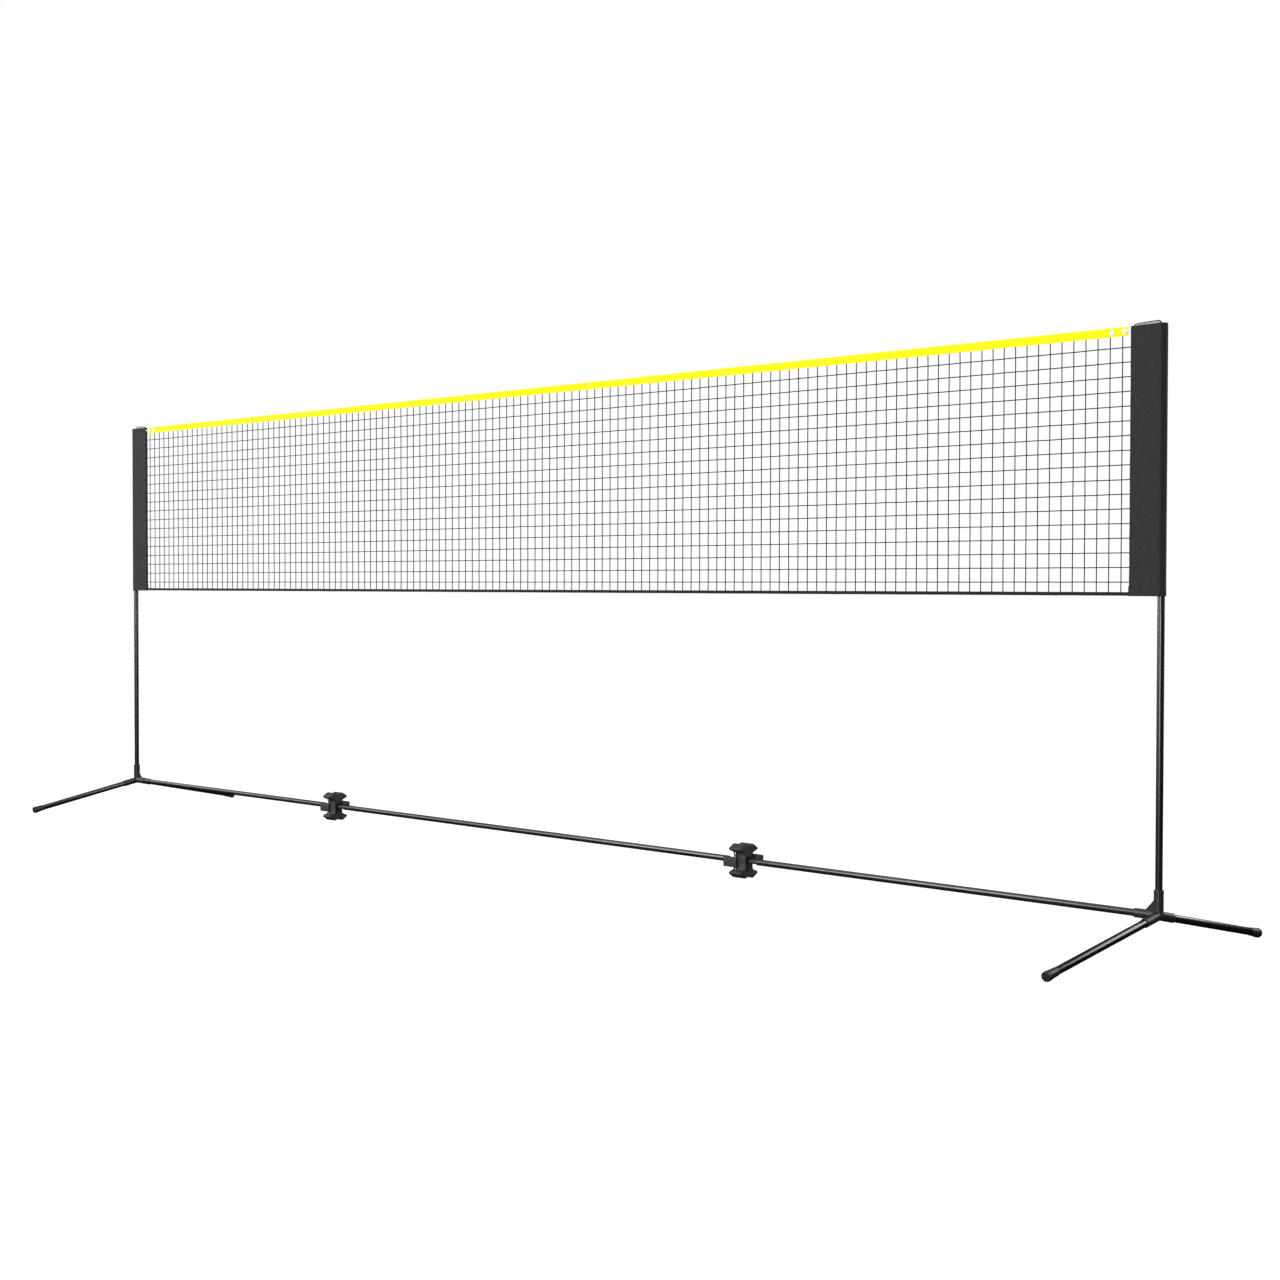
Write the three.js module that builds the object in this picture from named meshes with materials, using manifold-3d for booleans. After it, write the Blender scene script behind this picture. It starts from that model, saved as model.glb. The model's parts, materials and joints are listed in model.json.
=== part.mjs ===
// A free-standing portable net: a folding three-section ground bar, two hubs with front and back feet,
// two telescoping masts with snap buttons, and a net in sleeves between them.
// Millimetres, +Z up. The origin is on the floor under the middle of the net, +X runs along the net.
import * as THREE from 'three';
import { mergeVertices } from 'three/addons/utils/BufferGeometryUtils.js';
import Module from 'manifold-3d';

const wasm = await Module();
wasm.setup();

// ---------------------------------------------------------------- driving dimensions
const GAP = 0.3; // air between pieces that touch
const ROUND = 24; // sides of a round part
const SMALL_ROUND = 12; // sides of a fastener, an eyelet or a knot
const THROUGH = [-60, 60]; // a cutter's reach, right through a clip
const WALL = 1.2; // tube wall

const POLE_X = 2573; // mast centre from the middle of the net
const BAR_Z = 110; // ground bar's axis above the floor
const BAR_R = 9.5;

const CLIP_X = 1087.5; // clip centre from the middle of the net
const CLIP_LENGTH = 50;
const NECK_R = 7; // narrow end plug that joins a bar to its clip
const NECK_REACH = 37.5; // from the clip's end face to where the full tube starts
const PLUG_DEPTH = 40; // of the plug inside its tube
const PIN_FROM_CLIP_CENTRE = 12.5;
const PIN_Y = 21; // fold axis off the bar's axis
const PIN_R = 2.2;
const LEAF_HALF = 4; // half the thickness of a hinge leaf
const LEAF_LOW = -9;
const LEAF_HIGH = 21;

const FOOT_SLOPE = THREE.MathUtils.degToRad(11.47);
const FOOT_R = 10.5;
const FOOT_REACH = 494.6; // from the hub's centre to the cap's end, along the slope
const FOOT_SOCKET = 65;
const BAR_SOCKET = 71;
const MAST_SOCKET = 66;
const SOCKET_FLOOR = { foot: 16, bar: 16, mast: 14 }; // bottom of each socket, from the hub's centre
const TUBE_FROM_HUB = 17; // where a foot or bar tube starts, from the hub's centre

const LOWER_MAST_R = 9.5;
const LOWER_MAST_TOP = 955;
const UPPER_MAST_R = 8;
const UPPER_MAST_FOOT = 830;
const UPPER_MAST_TOP = 1618;
const BUTTON_Z = 890;
const BUTTON_TRAVEL = 618; // down the lower mast, six height steps of 103
const BUTTON_R = 3.2;
const BUTTON_HOLE_R = 3.6;

const SLEEVE_LOW = 931;
const SLEEVE_HIGH = 1629;
const SLEEVE_INBOARD = 95; // sleeve's inboard edge from the mast's centre
const SLEEVE_POCKET_R = 11.5;
const SLEEVE_OUTER_R = 12.6;

const FOLD_X = CLIP_X + PIN_FROM_CLIP_CENTRE; // where the net creases when the frame folds
const TAPE_HALF = 1.2; // half the thickness of a tape
const TOP_TAPE_LOW = 1605;
const TOP_TAPE_HIGH = 1629;
const BOTTOM_TAPE_LOW = 932;
const BOTTOM_TAPE_HIGH = 941.6;
const NET_HALF = 0.6; // half the thickness of the net's sheet
const GROMMETS_FROM_MAST = { outer: 115, inner: 153 };
const CORD_R = 2.5;

// ---------------------------------------------------------------- materials
const BLACK_STEEL = { color: 0x1b1b1c, roughness: 0.35, metalness: 0.6 };
const HUB_PLASTIC = { color: 0x2f2f30, roughness: 0.6, metalness: 0 };
const CLIP_PLASTIC = { color: 0x2b2b2c, roughness: 0.7, metalness: 0 };
const CAP_RUBBER = { color: 0x18181a, roughness: 0.55, metalness: 0 };
const BRIGHT_STEEL = { color: 0xa9abad, roughness: 0.3, metalness: 1 };
const SLEEVE_FABRIC = { color: 0x3a3a3a, roughness: 0.95, metalness: 0 };
const NET_TWINE = { color: 0x26262a, roughness: 0.9, metalness: 0 };
const YELLOW_TAPE = { color: 0xfdf500, roughness: 0.8, metalness: 0 };
const BLACK_TAPE = { color: 0x232323, roughness: 0.9, metalness: 0 };
const WHITE_METAL = { color: 0xe6e6e8, roughness: 0.4, metalness: 0.2 };
const WHITE_CORD = { color: 0xf2f2ef, roughness: 0.85, metalness: 0 };
const GREY_WEBBING = { color: 0xb9b9b9, roughness: 0.9, metalness: 0 };

// ---------------------------------------------------------------- geometry helpers
const model = new THREE.Group();

function addPiece(name, geometry, look) {
  const piece = new THREE.Mesh(geometry, new THREE.MeshStandardMaterial(look));
  piece.name = name;
  model.add(piece);
  return piece;
}

function box([x0, x1], [y0, y1], [z0, z1]) {
  const block = new THREE.BoxGeometry(x1 - x0, y1 - y0, z1 - z0);
  return block.translate((x0 + x1) / 2, (y0 + y1) / 2, (z0 + z1) / 2);
}

// A profile of [radius, height] pairs turned about the axis, rising along +X, +Y or +Z.
function turned(profile, axis, sides = ROUND) {
  const points = profile.map(([radius, height]) => new THREE.Vector2(radius, height));
  const shape = new THREE.LatheGeometry(points, sides);
  if (axis === 'x') shape.rotateZ(-Math.PI / 2);
  if (axis === 'z') shape.rotateX(Math.PI / 2);
  return shape;
}

function rod(radius, [low, high], axis, sides = ROUND) {
  return turned([[0, low], [radius, low], [radius, high], [0, high]], axis, sides);
}

function tube(outer, inner, [low, high], axis) {
  const ring = [[inner, low], [outer, low], [outer, high], [inner, high], [inner, low]];
  return turned(ring, axis);
}

function toSolid(geometry) {
  const bare = geometry.clone();
  bare.deleteAttribute('normal');
  bare.deleteAttribute('uv');
  const merged = mergeVertices(bare, 1e-4);
  return new wasm.Manifold(new wasm.Mesh({
    numProp: 3,
    vertProperties: new Float32Array(merged.attributes.position.array),
    triVerts: new Uint32Array(merged.index.array),
  }));
}

function toGeometry(solid) {
  const mesh = solid.getMesh();
  const geometry = new THREE.BufferGeometry();
  geometry.setAttribute('position', new THREE.BufferAttribute(new Float32Array(mesh.vertProperties), 3));
  geometry.setIndex(new THREE.BufferAttribute(new Uint32Array(mesh.triVerts), 1));
  geometry.computeVertexNormals();
  return geometry;
}

function joined(geometries) {
  return geometries.map(toSolid).reduce((whole, part) => whole.add(part));
}

function cut(solid, geometries) {
  return geometries.map(toSolid).reduce((rest, tool) => rest.subtract(tool), solid);
}

// Points of an arc in degrees, for outlines.
function arc([centreX, centreY], radius, [from, to], steps) {
  return Array.from({ length: steps + 1 }, (_, i) => {
    const angle = THREE.MathUtils.degToRad(from + ((to - from) * i) / steps);
    return [centreX + radius * Math.cos(angle), centreY + radius * Math.sin(angle)];
  });
}

function extruded(outline, depth) {
  const shape = new THREE.Shape(outline.map(([u, v]) => new THREE.Vector2(u, v)));
  return new THREE.ExtrudeGeometry(shape, { depth, bevelEnabled: false });
}

// Turns an extrusion drawn in (Y, Z) so that its depth runs along +X.
const ALONG_X = new THREE.Matrix4().makeBasis(
  new THREE.Vector3(0, 1, 0),
  new THREE.Vector3(0, 0, 1),
  new THREE.Vector3(1, 0, 0),
);

function extrudedAlongX(outline, [low, high]) {
  return extruded(outline, high - low).applyMatrix4(ALONG_X).translate(low, 0, 0);
}

function ordered(a, b) {
  return [Math.min(a, b), Math.max(a, b)];
}

// ---------------------------------------------------------------- clips and their hinges
const CLIP_PEAK = 52.5; // top of a lobe above the bar's axis
const CLIP_PEAK_SPAN = [12.5, 19.5]; // of the flat top of a lobe, off the split
const CLIP_NOTCH = 49.5;
const CLIP_NOTCH_HALF = 9;
const CLIP_WAIST = 16.5;
const CLIP_WAIST_HALF_HEIGHT = 21.5;
const CLIP_LOBE_ROOT = [20, 26.5]; // where the underside of a lobe meets the waist
const CLIP_TIP = { centre: [34.5, 37], radius: 4.5, span: [-69, 57] };
const CHANNEL_R = NECK_R + GAP;

const SCREW = { fromCentre: 14, seat: 16.2, headR: 3, headHeight: 2, shankR: 1.6, length: 24.6 };
const SCREW_TAPER = 0.6; // under the head
const SCREW_TIP = 1.6; // length of the point

// Half of the hourglass section, drawn for +Y: the waist between two lobes, and half the neck channel.
function clipOutline() {
  const split = GAP / 2;
  const channelEnd = THREE.MathUtils.radToDeg(Math.acos(split / CHANNEL_R));
  const [peakStart, peakEnd] = CLIP_PEAK_SPAN;
  const upper = [
    [CLIP_WAIST, CLIP_WAIST_HALF_HEIGHT],
    CLIP_LOBE_ROOT,
    ...arc(CLIP_TIP.centre, CLIP_TIP.radius, CLIP_TIP.span, 6),
    [peakEnd, CLIP_PEAK],
    [peakStart, CLIP_PEAK],
    [CLIP_NOTCH_HALF, CLIP_NOTCH],
    [split, CLIP_NOTCH],
  ];
  const lower = upper.map(([y, z]) => [y, -z]).reverse();
  return [...lower, ...upper, ...arc([0, 0], CHANNEL_R, [channelEnd, -channelEnd], 12)];
}

function addClip(side) {
  const centre = side.sign * CLIP_X;
  const span = [centre - CLIP_LENGTH / 2, centre + CLIP_LENGTH / 2];
  const screwX = centre + SCREW.fromCentre;
  const screwHeights = { upper: SCREW.fromCentre, lower: -SCREW.fromCentre };
  const headSeat = SCREW.headHeight + SCREW_TAPER - SCREW.seat + GAP / 2;
  const screwEnd = SCREW.length - SCREW.seat + 2;
  for (const half of [{ name: 'front', sign: -1 }, { name: 'back', sign: 1 }]) {
    const outline = clipOutline().map(([y, z]) => [half.sign * y, z]);
    const pinHole = rod(PIN_R + GAP, THROUGH, 'z', SMALL_ROUND)
      .translate(centre + half.sign * PIN_FROM_CLIP_CENTRE, half.sign * PIN_Y, 0);
    const screwHoles = Object.values(screwHeights).flatMap((z) => [
      rod(SCREW.shankR + GAP, [-CLIP_PEAK, screwEnd], 'y', SMALL_ROUND).translate(screwX, 0, z),
      rod(SCREW.headR + GAP, [-CLIP_PEAK, headSeat], 'y', SMALL_ROUND).translate(screwX, 0, z),
    ]);
    const solid = cut(toSolid(extrudedAlongX(outline, span)), [pinHole, ...screwHoles]);
    addPiece(`${side.name}_clip_${half.name}`, toGeometry(solid), CLIP_PLASTIC).position.z = BAR_Z;
  }
  const screw = [
    [0, 0], [SCREW.headR, 0], [SCREW.headR, SCREW.headHeight],
    [SCREW.shankR, SCREW.headHeight + SCREW_TAPER],
    [SCREW.shankR, SCREW.length - SCREW_TIP], [0, SCREW.length],
  ];
  for (const [name, z] of Object.entries(screwHeights)) {
    addPiece(`${side.name}_clip_screw_${name}`, turned(screw, 'y', SMALL_ROUND), BRIGHT_STEEL)
      .position.set(screwX, -SCREW.seat, BAR_Z + z);
  }
}

const FREE_NECK_GAP = 1; // between a free plug's neck and the clip
const FIXED_NECK_RECESS = 7.5; // how far a fixed plug's neck stops inside the clip's other face
const BRIDGE = 8; // thickness of the step that joins a leaf to its neck
const PIN_HALF_LENGTH = 48;
const PIN_CHAMFER = { radius: 0.5, length: 1 };

// An end plug with a hinge leaf beside it. way is +1 for the leaf behind the bar that points to +X,
// and -1 for the leaf in front that points to -X. A free plug only hangs on its pin; a fixed one also
// runs on through the clip's channel.
function addPlug(name, side, way, free) {
  const centre = side.sign * CLIP_X;
  const along = (distance) => centre + way * distance;
  const face = CLIP_LENGTH / 2;
  const tubeEnd = face + NECK_REACH;
  const neckStart = free ? face + FREE_NECK_GAP : FIXED_NECK_RECESS - face;
  const leafHeights = ordered(way * LEAF_LOW, way * LEAF_HIGH);
  const leafSpan = ordered(along(PIN_FROM_CLIP_CENTRE), along(tubeEnd));
  const eye = rod(LEAF_HALF, leafHeights, 'z', SMALL_ROUND)
    .translate(along(PIN_FROM_CLIP_CENTRE), way * PIN_Y, 0);
  const solid = cut(joined([
    box(leafSpan, ordered(way * (PIN_Y - LEAF_HALF), way * (PIN_Y + LEAF_HALF)), leafHeights),
    eye,
    box(ordered(along(tubeEnd - BRIDGE), along(tubeEnd)), ordered(0, way * (PIN_Y + LEAF_HALF)), leafHeights),
    rod(NECK_R, ordered(along(neckStart), along(tubeEnd)), 'x'),
    rod(BAR_R - WALL - GAP, ordered(along(tubeEnd - 1), along(tubeEnd + PLUG_DEPTH)), 'x'),
  ]), [
    rod(PIN_R + GAP, THROUGH, 'z', SMALL_ROUND)
      .translate(along(PIN_FROM_CLIP_CENTRE), way * PIN_Y, 0),
  ]);
  addPiece(name, toGeometry(solid), CLIP_PLASTIC).position.z = BAR_Z;
}

function addPin(name, side, way) {
  const tipR = PIN_R - PIN_CHAMFER.radius;
  const shoulder = PIN_HALF_LENGTH - PIN_CHAMFER.length;
  const pin = [
    [0, -PIN_HALF_LENGTH], [tipR, -PIN_HALF_LENGTH], [PIN_R, -shoulder],
    [PIN_R, shoulder], [tipR, PIN_HALF_LENGTH], [0, PIN_HALF_LENGTH],
  ];
  addPiece(name, turned(pin, 'z', SMALL_ROUND), BRIGHT_STEEL)
    .position.set(side.sign * CLIP_X + way * PIN_FROM_CLIP_CENTRE, way * PIN_Y, BAR_Z);
}

// ---------------------------------------------------------------- ground bar
const TUBE_START = CLIP_LENGTH / 2 + NECK_REACH + GAP; // of a bar, from its clip's centre

function addCentreBar() {
  const half = CLIP_X - TUBE_START;
  addPiece('center_bar', tube(BAR_R, BAR_R - WALL, [-half, half], 'x'), BLACK_STEEL).position.z = BAR_Z;
}

function addOuterBar(side) {
  const span = ordered(side.sign * (CLIP_X + TUBE_START), side.sign * (POLE_X - TUBE_FROM_HUB));
  addPiece(`${side.name}_outer_bar`, tube(BAR_R, BAR_R - WALL, span, 'x'), BLACK_STEEL).position.z = BAR_Z;
}

// ---------------------------------------------------------------- hubs and feet
const FEET = [
  { name: 'front', turn: -Math.PI / 2 },
  { name: 'back', turn: Math.PI / 2 },
];

// Lays a shape that rises along +X down the slope, then swings it to the front or the back.
function alongFoot(geometry, foot) {
  return geometry.rotateY(FOOT_SLOPE).rotateZ(foot.turn);
}

const HUB_BALL_R = 13;
const HUB_KEEL = -6; // bottom of the mast socket's column
const MAST_SOCKET_R = 12.8;
const RIM_CHAMFER = { radius: 0.8, height: 1 };
const BAR_SOCKET_R = 12.25;
const FOOT_SOCKET_R = 12.5;
const GUSSET = { thickness: 5, reach: 44, toe: 6, root: 12, height: 40 };
const OPEN_END = 10; // how far a bore's cutter runs past the socket's mouth

function addHub(side) {
  const inboard = -side.sign;
  const web = extruded([
    [0, 0], [inboard * GUSSET.reach, GUSSET.toe], [inboard * GUSSET.root, GUSSET.height], [0, GUSSET.height],
  ], GUSSET.thickness).rotateX(Math.PI / 2).translate(0, GUSSET.thickness / 2, 0);
  const bore = BAR_R + GAP;
  const column = [
    [0, HUB_KEEL], [MAST_SOCKET_R, HUB_KEEL], [MAST_SOCKET_R, MAST_SOCKET - RIM_CHAMFER.height],
    [MAST_SOCKET_R - RIM_CHAMFER.radius, MAST_SOCKET], [0, MAST_SOCKET],
  ];
  const body = joined([
    new THREE.SphereGeometry(HUB_BALL_R, SMALL_ROUND, 8),
    turned(column, 'z'),
    rod(BAR_SOCKET_R, ordered(0, inboard * BAR_SOCKET), 'x'),
    ...FEET.map((foot) => alongFoot(rod(FOOT_SOCKET_R, [0, FOOT_SOCKET], 'x'), foot)),
    web,
  ]);
  const footBore = [SOCKET_FLOOR.foot, FOOT_SOCKET + OPEN_END];
  const solid = cut(body, [
    rod(bore, [SOCKET_FLOOR.mast, MAST_SOCKET + OPEN_END], 'z'),
    rod(bore, ordered(inboard * SOCKET_FLOOR.bar, inboard * (BAR_SOCKET + OPEN_END)), 'x'),
    ...FEET.map((foot) => alongFoot(rod(FOOT_R + GAP, footBore, 'x'), foot)),
  ]);
  addPiece(`${side.name}_hub`, toGeometry(solid), HUB_PLASTIC).position.set(side.sign * POLE_X, 0, BAR_Z);
}

// The cap's outside: its mouth, the end of its thin sleeve, the flare and the tread, all from its end.
const CAP = { mouthR: 11.6, sleeveR: 11.9, treadR: 13.4, endR: 11.5 };
const CAP_FROM_END = { mouth: 44, sleeve: 30, flare: 12, edge: 2, tubeEnd: 9 };

function addFoot(side, foot) {
  const end = FOOT_REACH;
  const tubeEnd = end - CAP_FROM_END.tubeEnd;
  const leg = alongFoot(tube(FOOT_R, FOOT_R - WALL, [TUBE_FROM_HUB, tubeEnd], 'x'), foot);
  addPiece(`${side.name}_${foot.name}_foot`, leg, BLACK_STEEL).position.set(side.sign * POLE_X, 0, BAR_Z);

  const profile = [
    [0, tubeEnd + GAP], [FOOT_R + GAP, tubeEnd + GAP], [FOOT_R + GAP, end - CAP_FROM_END.mouth],
    [CAP.mouthR, end - CAP_FROM_END.mouth], [CAP.sleeveR, end - CAP_FROM_END.sleeve],
    [CAP.treadR, end - CAP_FROM_END.flare], [CAP.treadR, end - CAP_FROM_END.edge], [CAP.endR, end], [0, end],
  ];
  const cap = alongFoot(turned(profile, 'x'), foot);
  const floor = box(THROUGH, [-FOOT_REACH, FOOT_REACH], [-2 * BAR_Z, -BAR_Z]);
  addPiece(`${side.name}_${foot.name}_foot_cap`, toGeometry(cut(toSolid(cap), [floor])), CAP_RUBBER)
    .position.set(side.sign * POLE_X, 0, BAR_Z);
}

// ---------------------------------------------------------------- telescoping masts
const BUTTON_SIDE = [2, 14]; // the reach of a cutter through a mast's back wall, along Y

// The height holes run together into one slot, because the button stays out while the mast slides.
function addLowerMast(side) {
  const low = BUTTON_Z - BUTTON_TRAVEL;
  const slot = [
    rod(BUTTON_HOLE_R, BUTTON_SIDE, 'y', SMALL_ROUND).translate(0, 0, BUTTON_Z),
    rod(BUTTON_HOLE_R, BUTTON_SIDE, 'y', SMALL_ROUND).translate(0, 0, low),
    box([-BUTTON_HOLE_R, BUTTON_HOLE_R], BUTTON_SIDE, [low, BUTTON_Z]),
  ];
  const foot = BAR_Z + SOCKET_FLOOR.mast + GAP;
  const body = toSolid(tube(LOWER_MAST_R, LOWER_MAST_R - WALL, [foot, LOWER_MAST_TOP], 'z'));
  addPiece(`${side.name}_lower_mast`, toGeometry(cut(body, slot)), BLACK_STEEL)
    .position.x = side.sign * POLE_X;
}

const UPPER_MAST_WALL = 1;
const MAST_CAP = { plugR: 6.7, plugTipR: 5.8, plugLength: 20, plugTip: 3, headR: 8.6, domeR: 7.4 };
const MAST_CAP_HEIGHTS = { edge: 3, dome: 4.2, top: 4.5 };
const BUTTON = { flangeR: 4.4, flange: [3.6, 4.8], shoulder: 12, domeR: 2.2, dome: 13.1, end: 13.5 };
const SPRING = { half: 3.5, reach: 36, top: 6, bendY: -2.5, outerR: 3, innerR: 2.2 };
const SPRING_LEGS = { front: -5.5, frontInner: -4.7, buttonSide: 3.3, buttonInner: 2.5 };

function addUpperMast(side) {
  const place = new THREE.Vector3(side.sign * POLE_X, 0, 0);
  const wall = [UPPER_MAST_R, UPPER_MAST_R - UPPER_MAST_WALL];
  const body = toSolid(tube(...wall, [UPPER_MAST_FOOT, UPPER_MAST_TOP], 'z'));
  const hole = rod(BUTTON_HOLE_R, BUTTON_SIDE, 'y', SMALL_ROUND).translate(0, 0, BUTTON_Z);
  addPiece(`${side.name}_upper_mast`, toGeometry(cut(body, [hole])), BLACK_STEEL).position.copy(place);

  const top = UPPER_MAST_TOP;
  const plugEnd = top - MAST_CAP.plugLength;
  const cap = [
    [0, plugEnd], [MAST_CAP.plugTipR, plugEnd], [MAST_CAP.plugR, plugEnd + MAST_CAP.plugTip],
    [MAST_CAP.plugR, top + GAP], [MAST_CAP.headR, top + GAP], [MAST_CAP.headR, top + MAST_CAP_HEIGHTS.edge],
    [MAST_CAP.domeR, top + MAST_CAP_HEIGHTS.dome], [0, top + MAST_CAP_HEIGHTS.top],
  ];
  addPiece(`${side.name}_mast_cap`, turned(cap, 'z'), CAP_RUBBER).position.copy(place);

  const [flangeLow, flangeHigh] = BUTTON.flange;
  const button = [
    [0, flangeLow], [BUTTON.flangeR, flangeLow], [BUTTON.flangeR, flangeHigh], [BUTTON_R, flangeHigh],
    [BUTTON_R, BUTTON.shoulder], [BUTTON.domeR, BUTTON.dome], [0, BUTTON.end],
  ];
  addPiece(`${side.name}_snap_button`, turned(button, 'y', SMALL_ROUND), BRIGHT_STEEL)
    .position.copy(place).setZ(BUTTON_Z);

  // A bent strip: one leg lies on the tube's front wall, the other ends under the button.
  const bend = [SPRING.bendY, -SPRING.reach];
  const strip = [
    [SPRING_LEGS.front, SPRING.top],
    ...arc(bend, SPRING.outerR, [180, 360], 6),
    [SPRING_LEGS.buttonSide, SPRING.top],
    [SPRING_LEGS.buttonInner, SPRING.top],
    ...arc(bend, SPRING.innerR, [360, 180], 6),
    [SPRING_LEGS.frontInner, SPRING.top],
  ];
  addPiece(`${side.name}_snap_spring`, extrudedAlongX(strip, [-SPRING.half, SPRING.half]), BRIGHT_STEEL)
    .position.copy(place).setZ(BUTTON_Z);
}

// ---------------------------------------------------------------- sleeves
const SLEEVE_EDGE_HALF = 4; // half its thickness at the inboard edge
const SLEEVE_SEAM = 9; // width of the edge where both plies are sewn together
const PLY_TANGENT = 95; // degrees round the mast to where a ply leaves it
const SLEEVE_TOP_WALL = 4; // of cloth over the pocket
const STRAP = { from: 5, to: 87, half: 1, height: 5 };

// Round the mast, then in to an edge: a prism on a section like a drop, from one height to another.
function drop(side, radius, edge, heights) {
  const half = [...arc([0, 0], radius, [0, PLY_TANGENT], 12), [-edge.from, edge.half]];
  const outline = [...half, ...half.slice(1).map(([x, y]) => [x, -y]).reverse()]
    .map(([x, y]) => [side.sign * x, y]);
  return extruded(outline, heights[1] - heights[0]).translate(0, 0, heights[0]);
}

// Two plies of cloth that leave the mast side by side and are sewn together at the inboard edge.
function addSleeve(side) {
  const inboard = -side.sign;
  const cloth = SLEEVE_OUTER_R - SLEEVE_POCKET_R;
  const edge = { from: SLEEVE_INBOARD, half: SLEEVE_EDGE_HALF };
  const taper = (SLEEVE_OUTER_R - SLEEVE_EDGE_HALF) / SLEEVE_INBOARD;
  const seam = {
    from: SLEEVE_INBOARD - SLEEVE_SEAM,
    half: SLEEVE_EDGE_HALF + SLEEVE_SEAM * taper - cloth,
  };
  const skin = toSolid(drop(side, SLEEVE_OUTER_R, edge, [SLEEVE_LOW, SLEEVE_HIGH]));
  const pocket = drop(side, SLEEVE_POCKET_R, seam, [SLEEVE_LOW - OPEN_END, SLEEVE_HIGH - SLEEVE_TOP_WALL]);
  addPiece(`${side.name}_sleeve`, toGeometry(cut(skin, [pocket])), SLEEVE_FABRIC)
    .position.x = side.sign * POLE_X;

  const strap = box(
    ordered(inboard * STRAP.from, inboard * STRAP.to),
    [-STRAP.half, STRAP.half],
    [SLEEVE_HIGH + GAP, SLEEVE_HIGH + STRAP.height],
  );
  addPiece(`${side.name}_sleeve_strap`, strap, GREY_WEBBING).position.x = side.sign * POLE_X;
}

// ---------------------------------------------------------------- net and tapes
const NET_END = POLE_X - SLEEVE_INBOARD - GAP;
const TOP_TAPE_END = POLE_X - SLEEVE_INBOARD - 10;
const TAPE_MIDDLE = (TOP_TAPE_LOW + TOP_TAPE_HIGH) / 2;
const EYELET = { holeR: 4.5, barrelR: 5.3, flangeR: 8.2, inside: 1.5, outside: 2.3 }; // last two: flange faces

function addNetMiddle() {
  const span = [-FOLD_X + GAP / 2, FOLD_X - GAP / 2];
  const netHeights = [BOTTOM_TAPE_HIGH + GAP, TOP_TAPE_LOW - GAP];
  addPiece('net_middle', box(span, [-NET_HALF, NET_HALF], netHeights), NET_TWINE);
  addPiece('top_tape_middle', box(span, [-TAPE_HALF, TAPE_HALF], [TOP_TAPE_LOW, TOP_TAPE_HIGH]), YELLOW_TAPE);
  addPiece(
    'bottom_tape_middle',
    box(span, [-TAPE_HALF, TAPE_HALF], [BOTTOM_TAPE_LOW, BOTTOM_TAPE_HIGH]),
    BLACK_TAPE,
  );
}

function addNetSide(side) {
  const reach = (end) => ordered(side.sign * (FOLD_X + GAP / 2), side.sign * end);
  const netHeights = [BOTTOM_TAPE_HIGH + GAP, TOP_TAPE_LOW - GAP];
  addPiece(`net_${side.name}`, box(reach(NET_END), [-NET_HALF, NET_HALF], netHeights), NET_TWINE);
  addPiece(
    `bottom_tape_${side.name}`,
    box(reach(NET_END), [-TAPE_HALF, TAPE_HALF], [BOTTOM_TAPE_LOW, BOTTOM_TAPE_HIGH]),
    BLACK_TAPE,
  );

  const { holeR, barrelR, flangeR, inside, outside } = EYELET;
  const eyelet = [
    [holeR, -outside], [flangeR, -outside], [flangeR, -inside], [barrelR, -inside],
    [barrelR, inside], [flangeR, inside], [flangeR, outside], [holeR, outside], [holeR, -outside],
  ];
  const places = Object.entries(GROMMETS_FROM_MAST)
    .map(([name, distance]) => ({ name, x: side.sign * (POLE_X - distance) }));
  const holes = places.map(({ x }) => rod(barrelR + GAP, [-5, 5], 'y').translate(x, 0, TAPE_MIDDLE));
  const tape = box(reach(TOP_TAPE_END), [-TAPE_HALF, TAPE_HALF], [TOP_TAPE_LOW, TOP_TAPE_HIGH]);
  addPiece(`top_tape_${side.name}`, toGeometry(cut(toSolid(tape), holes)), YELLOW_TAPE);
  for (const { name, x } of places) {
    addPiece(`${side.name}_${name}_grommet`, turned(eyelet, 'y', SMALL_ROUND + 4), WHITE_METAL)
      .position.set(x, 0, TAPE_MIDDLE);
  }
}

// A short cord from a knot behind the outer grommet, through it, to the sleeve's inboard hem.
function addTapeCord(side) {
  const bend = 5;
  const corner = arc([bend, -0.5], bend, [180, 270], 5);
  const route = [[0, 7], [0, 3], ...corner, [9.5, -5.4], [14, -4.4], [19.2, -2.6]];
  const knotR = 5.2;
  const path = new THREE.CatmullRomCurve3(
    route.map(([x, y]) => new THREE.Vector3(side.sign * x, y, 0)),
  );
  const section = new THREE.Shape(
    arc([0, 0], CORD_R, [0, 315], 7).map(([u, v]) => new THREE.Vector2(u, v)),
  );
  const cord = new THREE.ExtrudeGeometry(section, { extrudePath: path, steps: 16 });
  const knot = new THREE.SphereGeometry(knotR, SMALL_ROUND, 8).translate(0, 8, 0);
  addPiece(`${side.name}_tape_cord`, toGeometry(joined([cord, knot])), WHITE_CORD)
    .position.set(side.sign * (POLE_X - GROMMETS_FROM_MAST.outer), 0, TAPE_MIDDLE);
}

// ---------------------------------------------------------------- assembly
addCentreBar();
addNetMiddle();
for (const side of [{ name: 'right', sign: 1 }, { name: 'left', sign: -1 }]) {
  addClip(side);
  addPlug(`${side.name}_fixed_plug`, side, -side.sign, false);
  addPin(`${side.name}_plug_rivet`, side, -side.sign);
  addPlug(`${side.name}_hinge_plug`, side, side.sign, true);
  addPin(`${side.name}_hinge_pin`, side, side.sign);
  addOuterBar(side);
  addHub(side);
  FEET.forEach((foot) => addFoot(side, foot));
  addLowerMast(side);
  addUpperMast(side);
  addSleeve(side);
  addNetSide(side);
  addTapeCord(side);
}

export default model;
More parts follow.
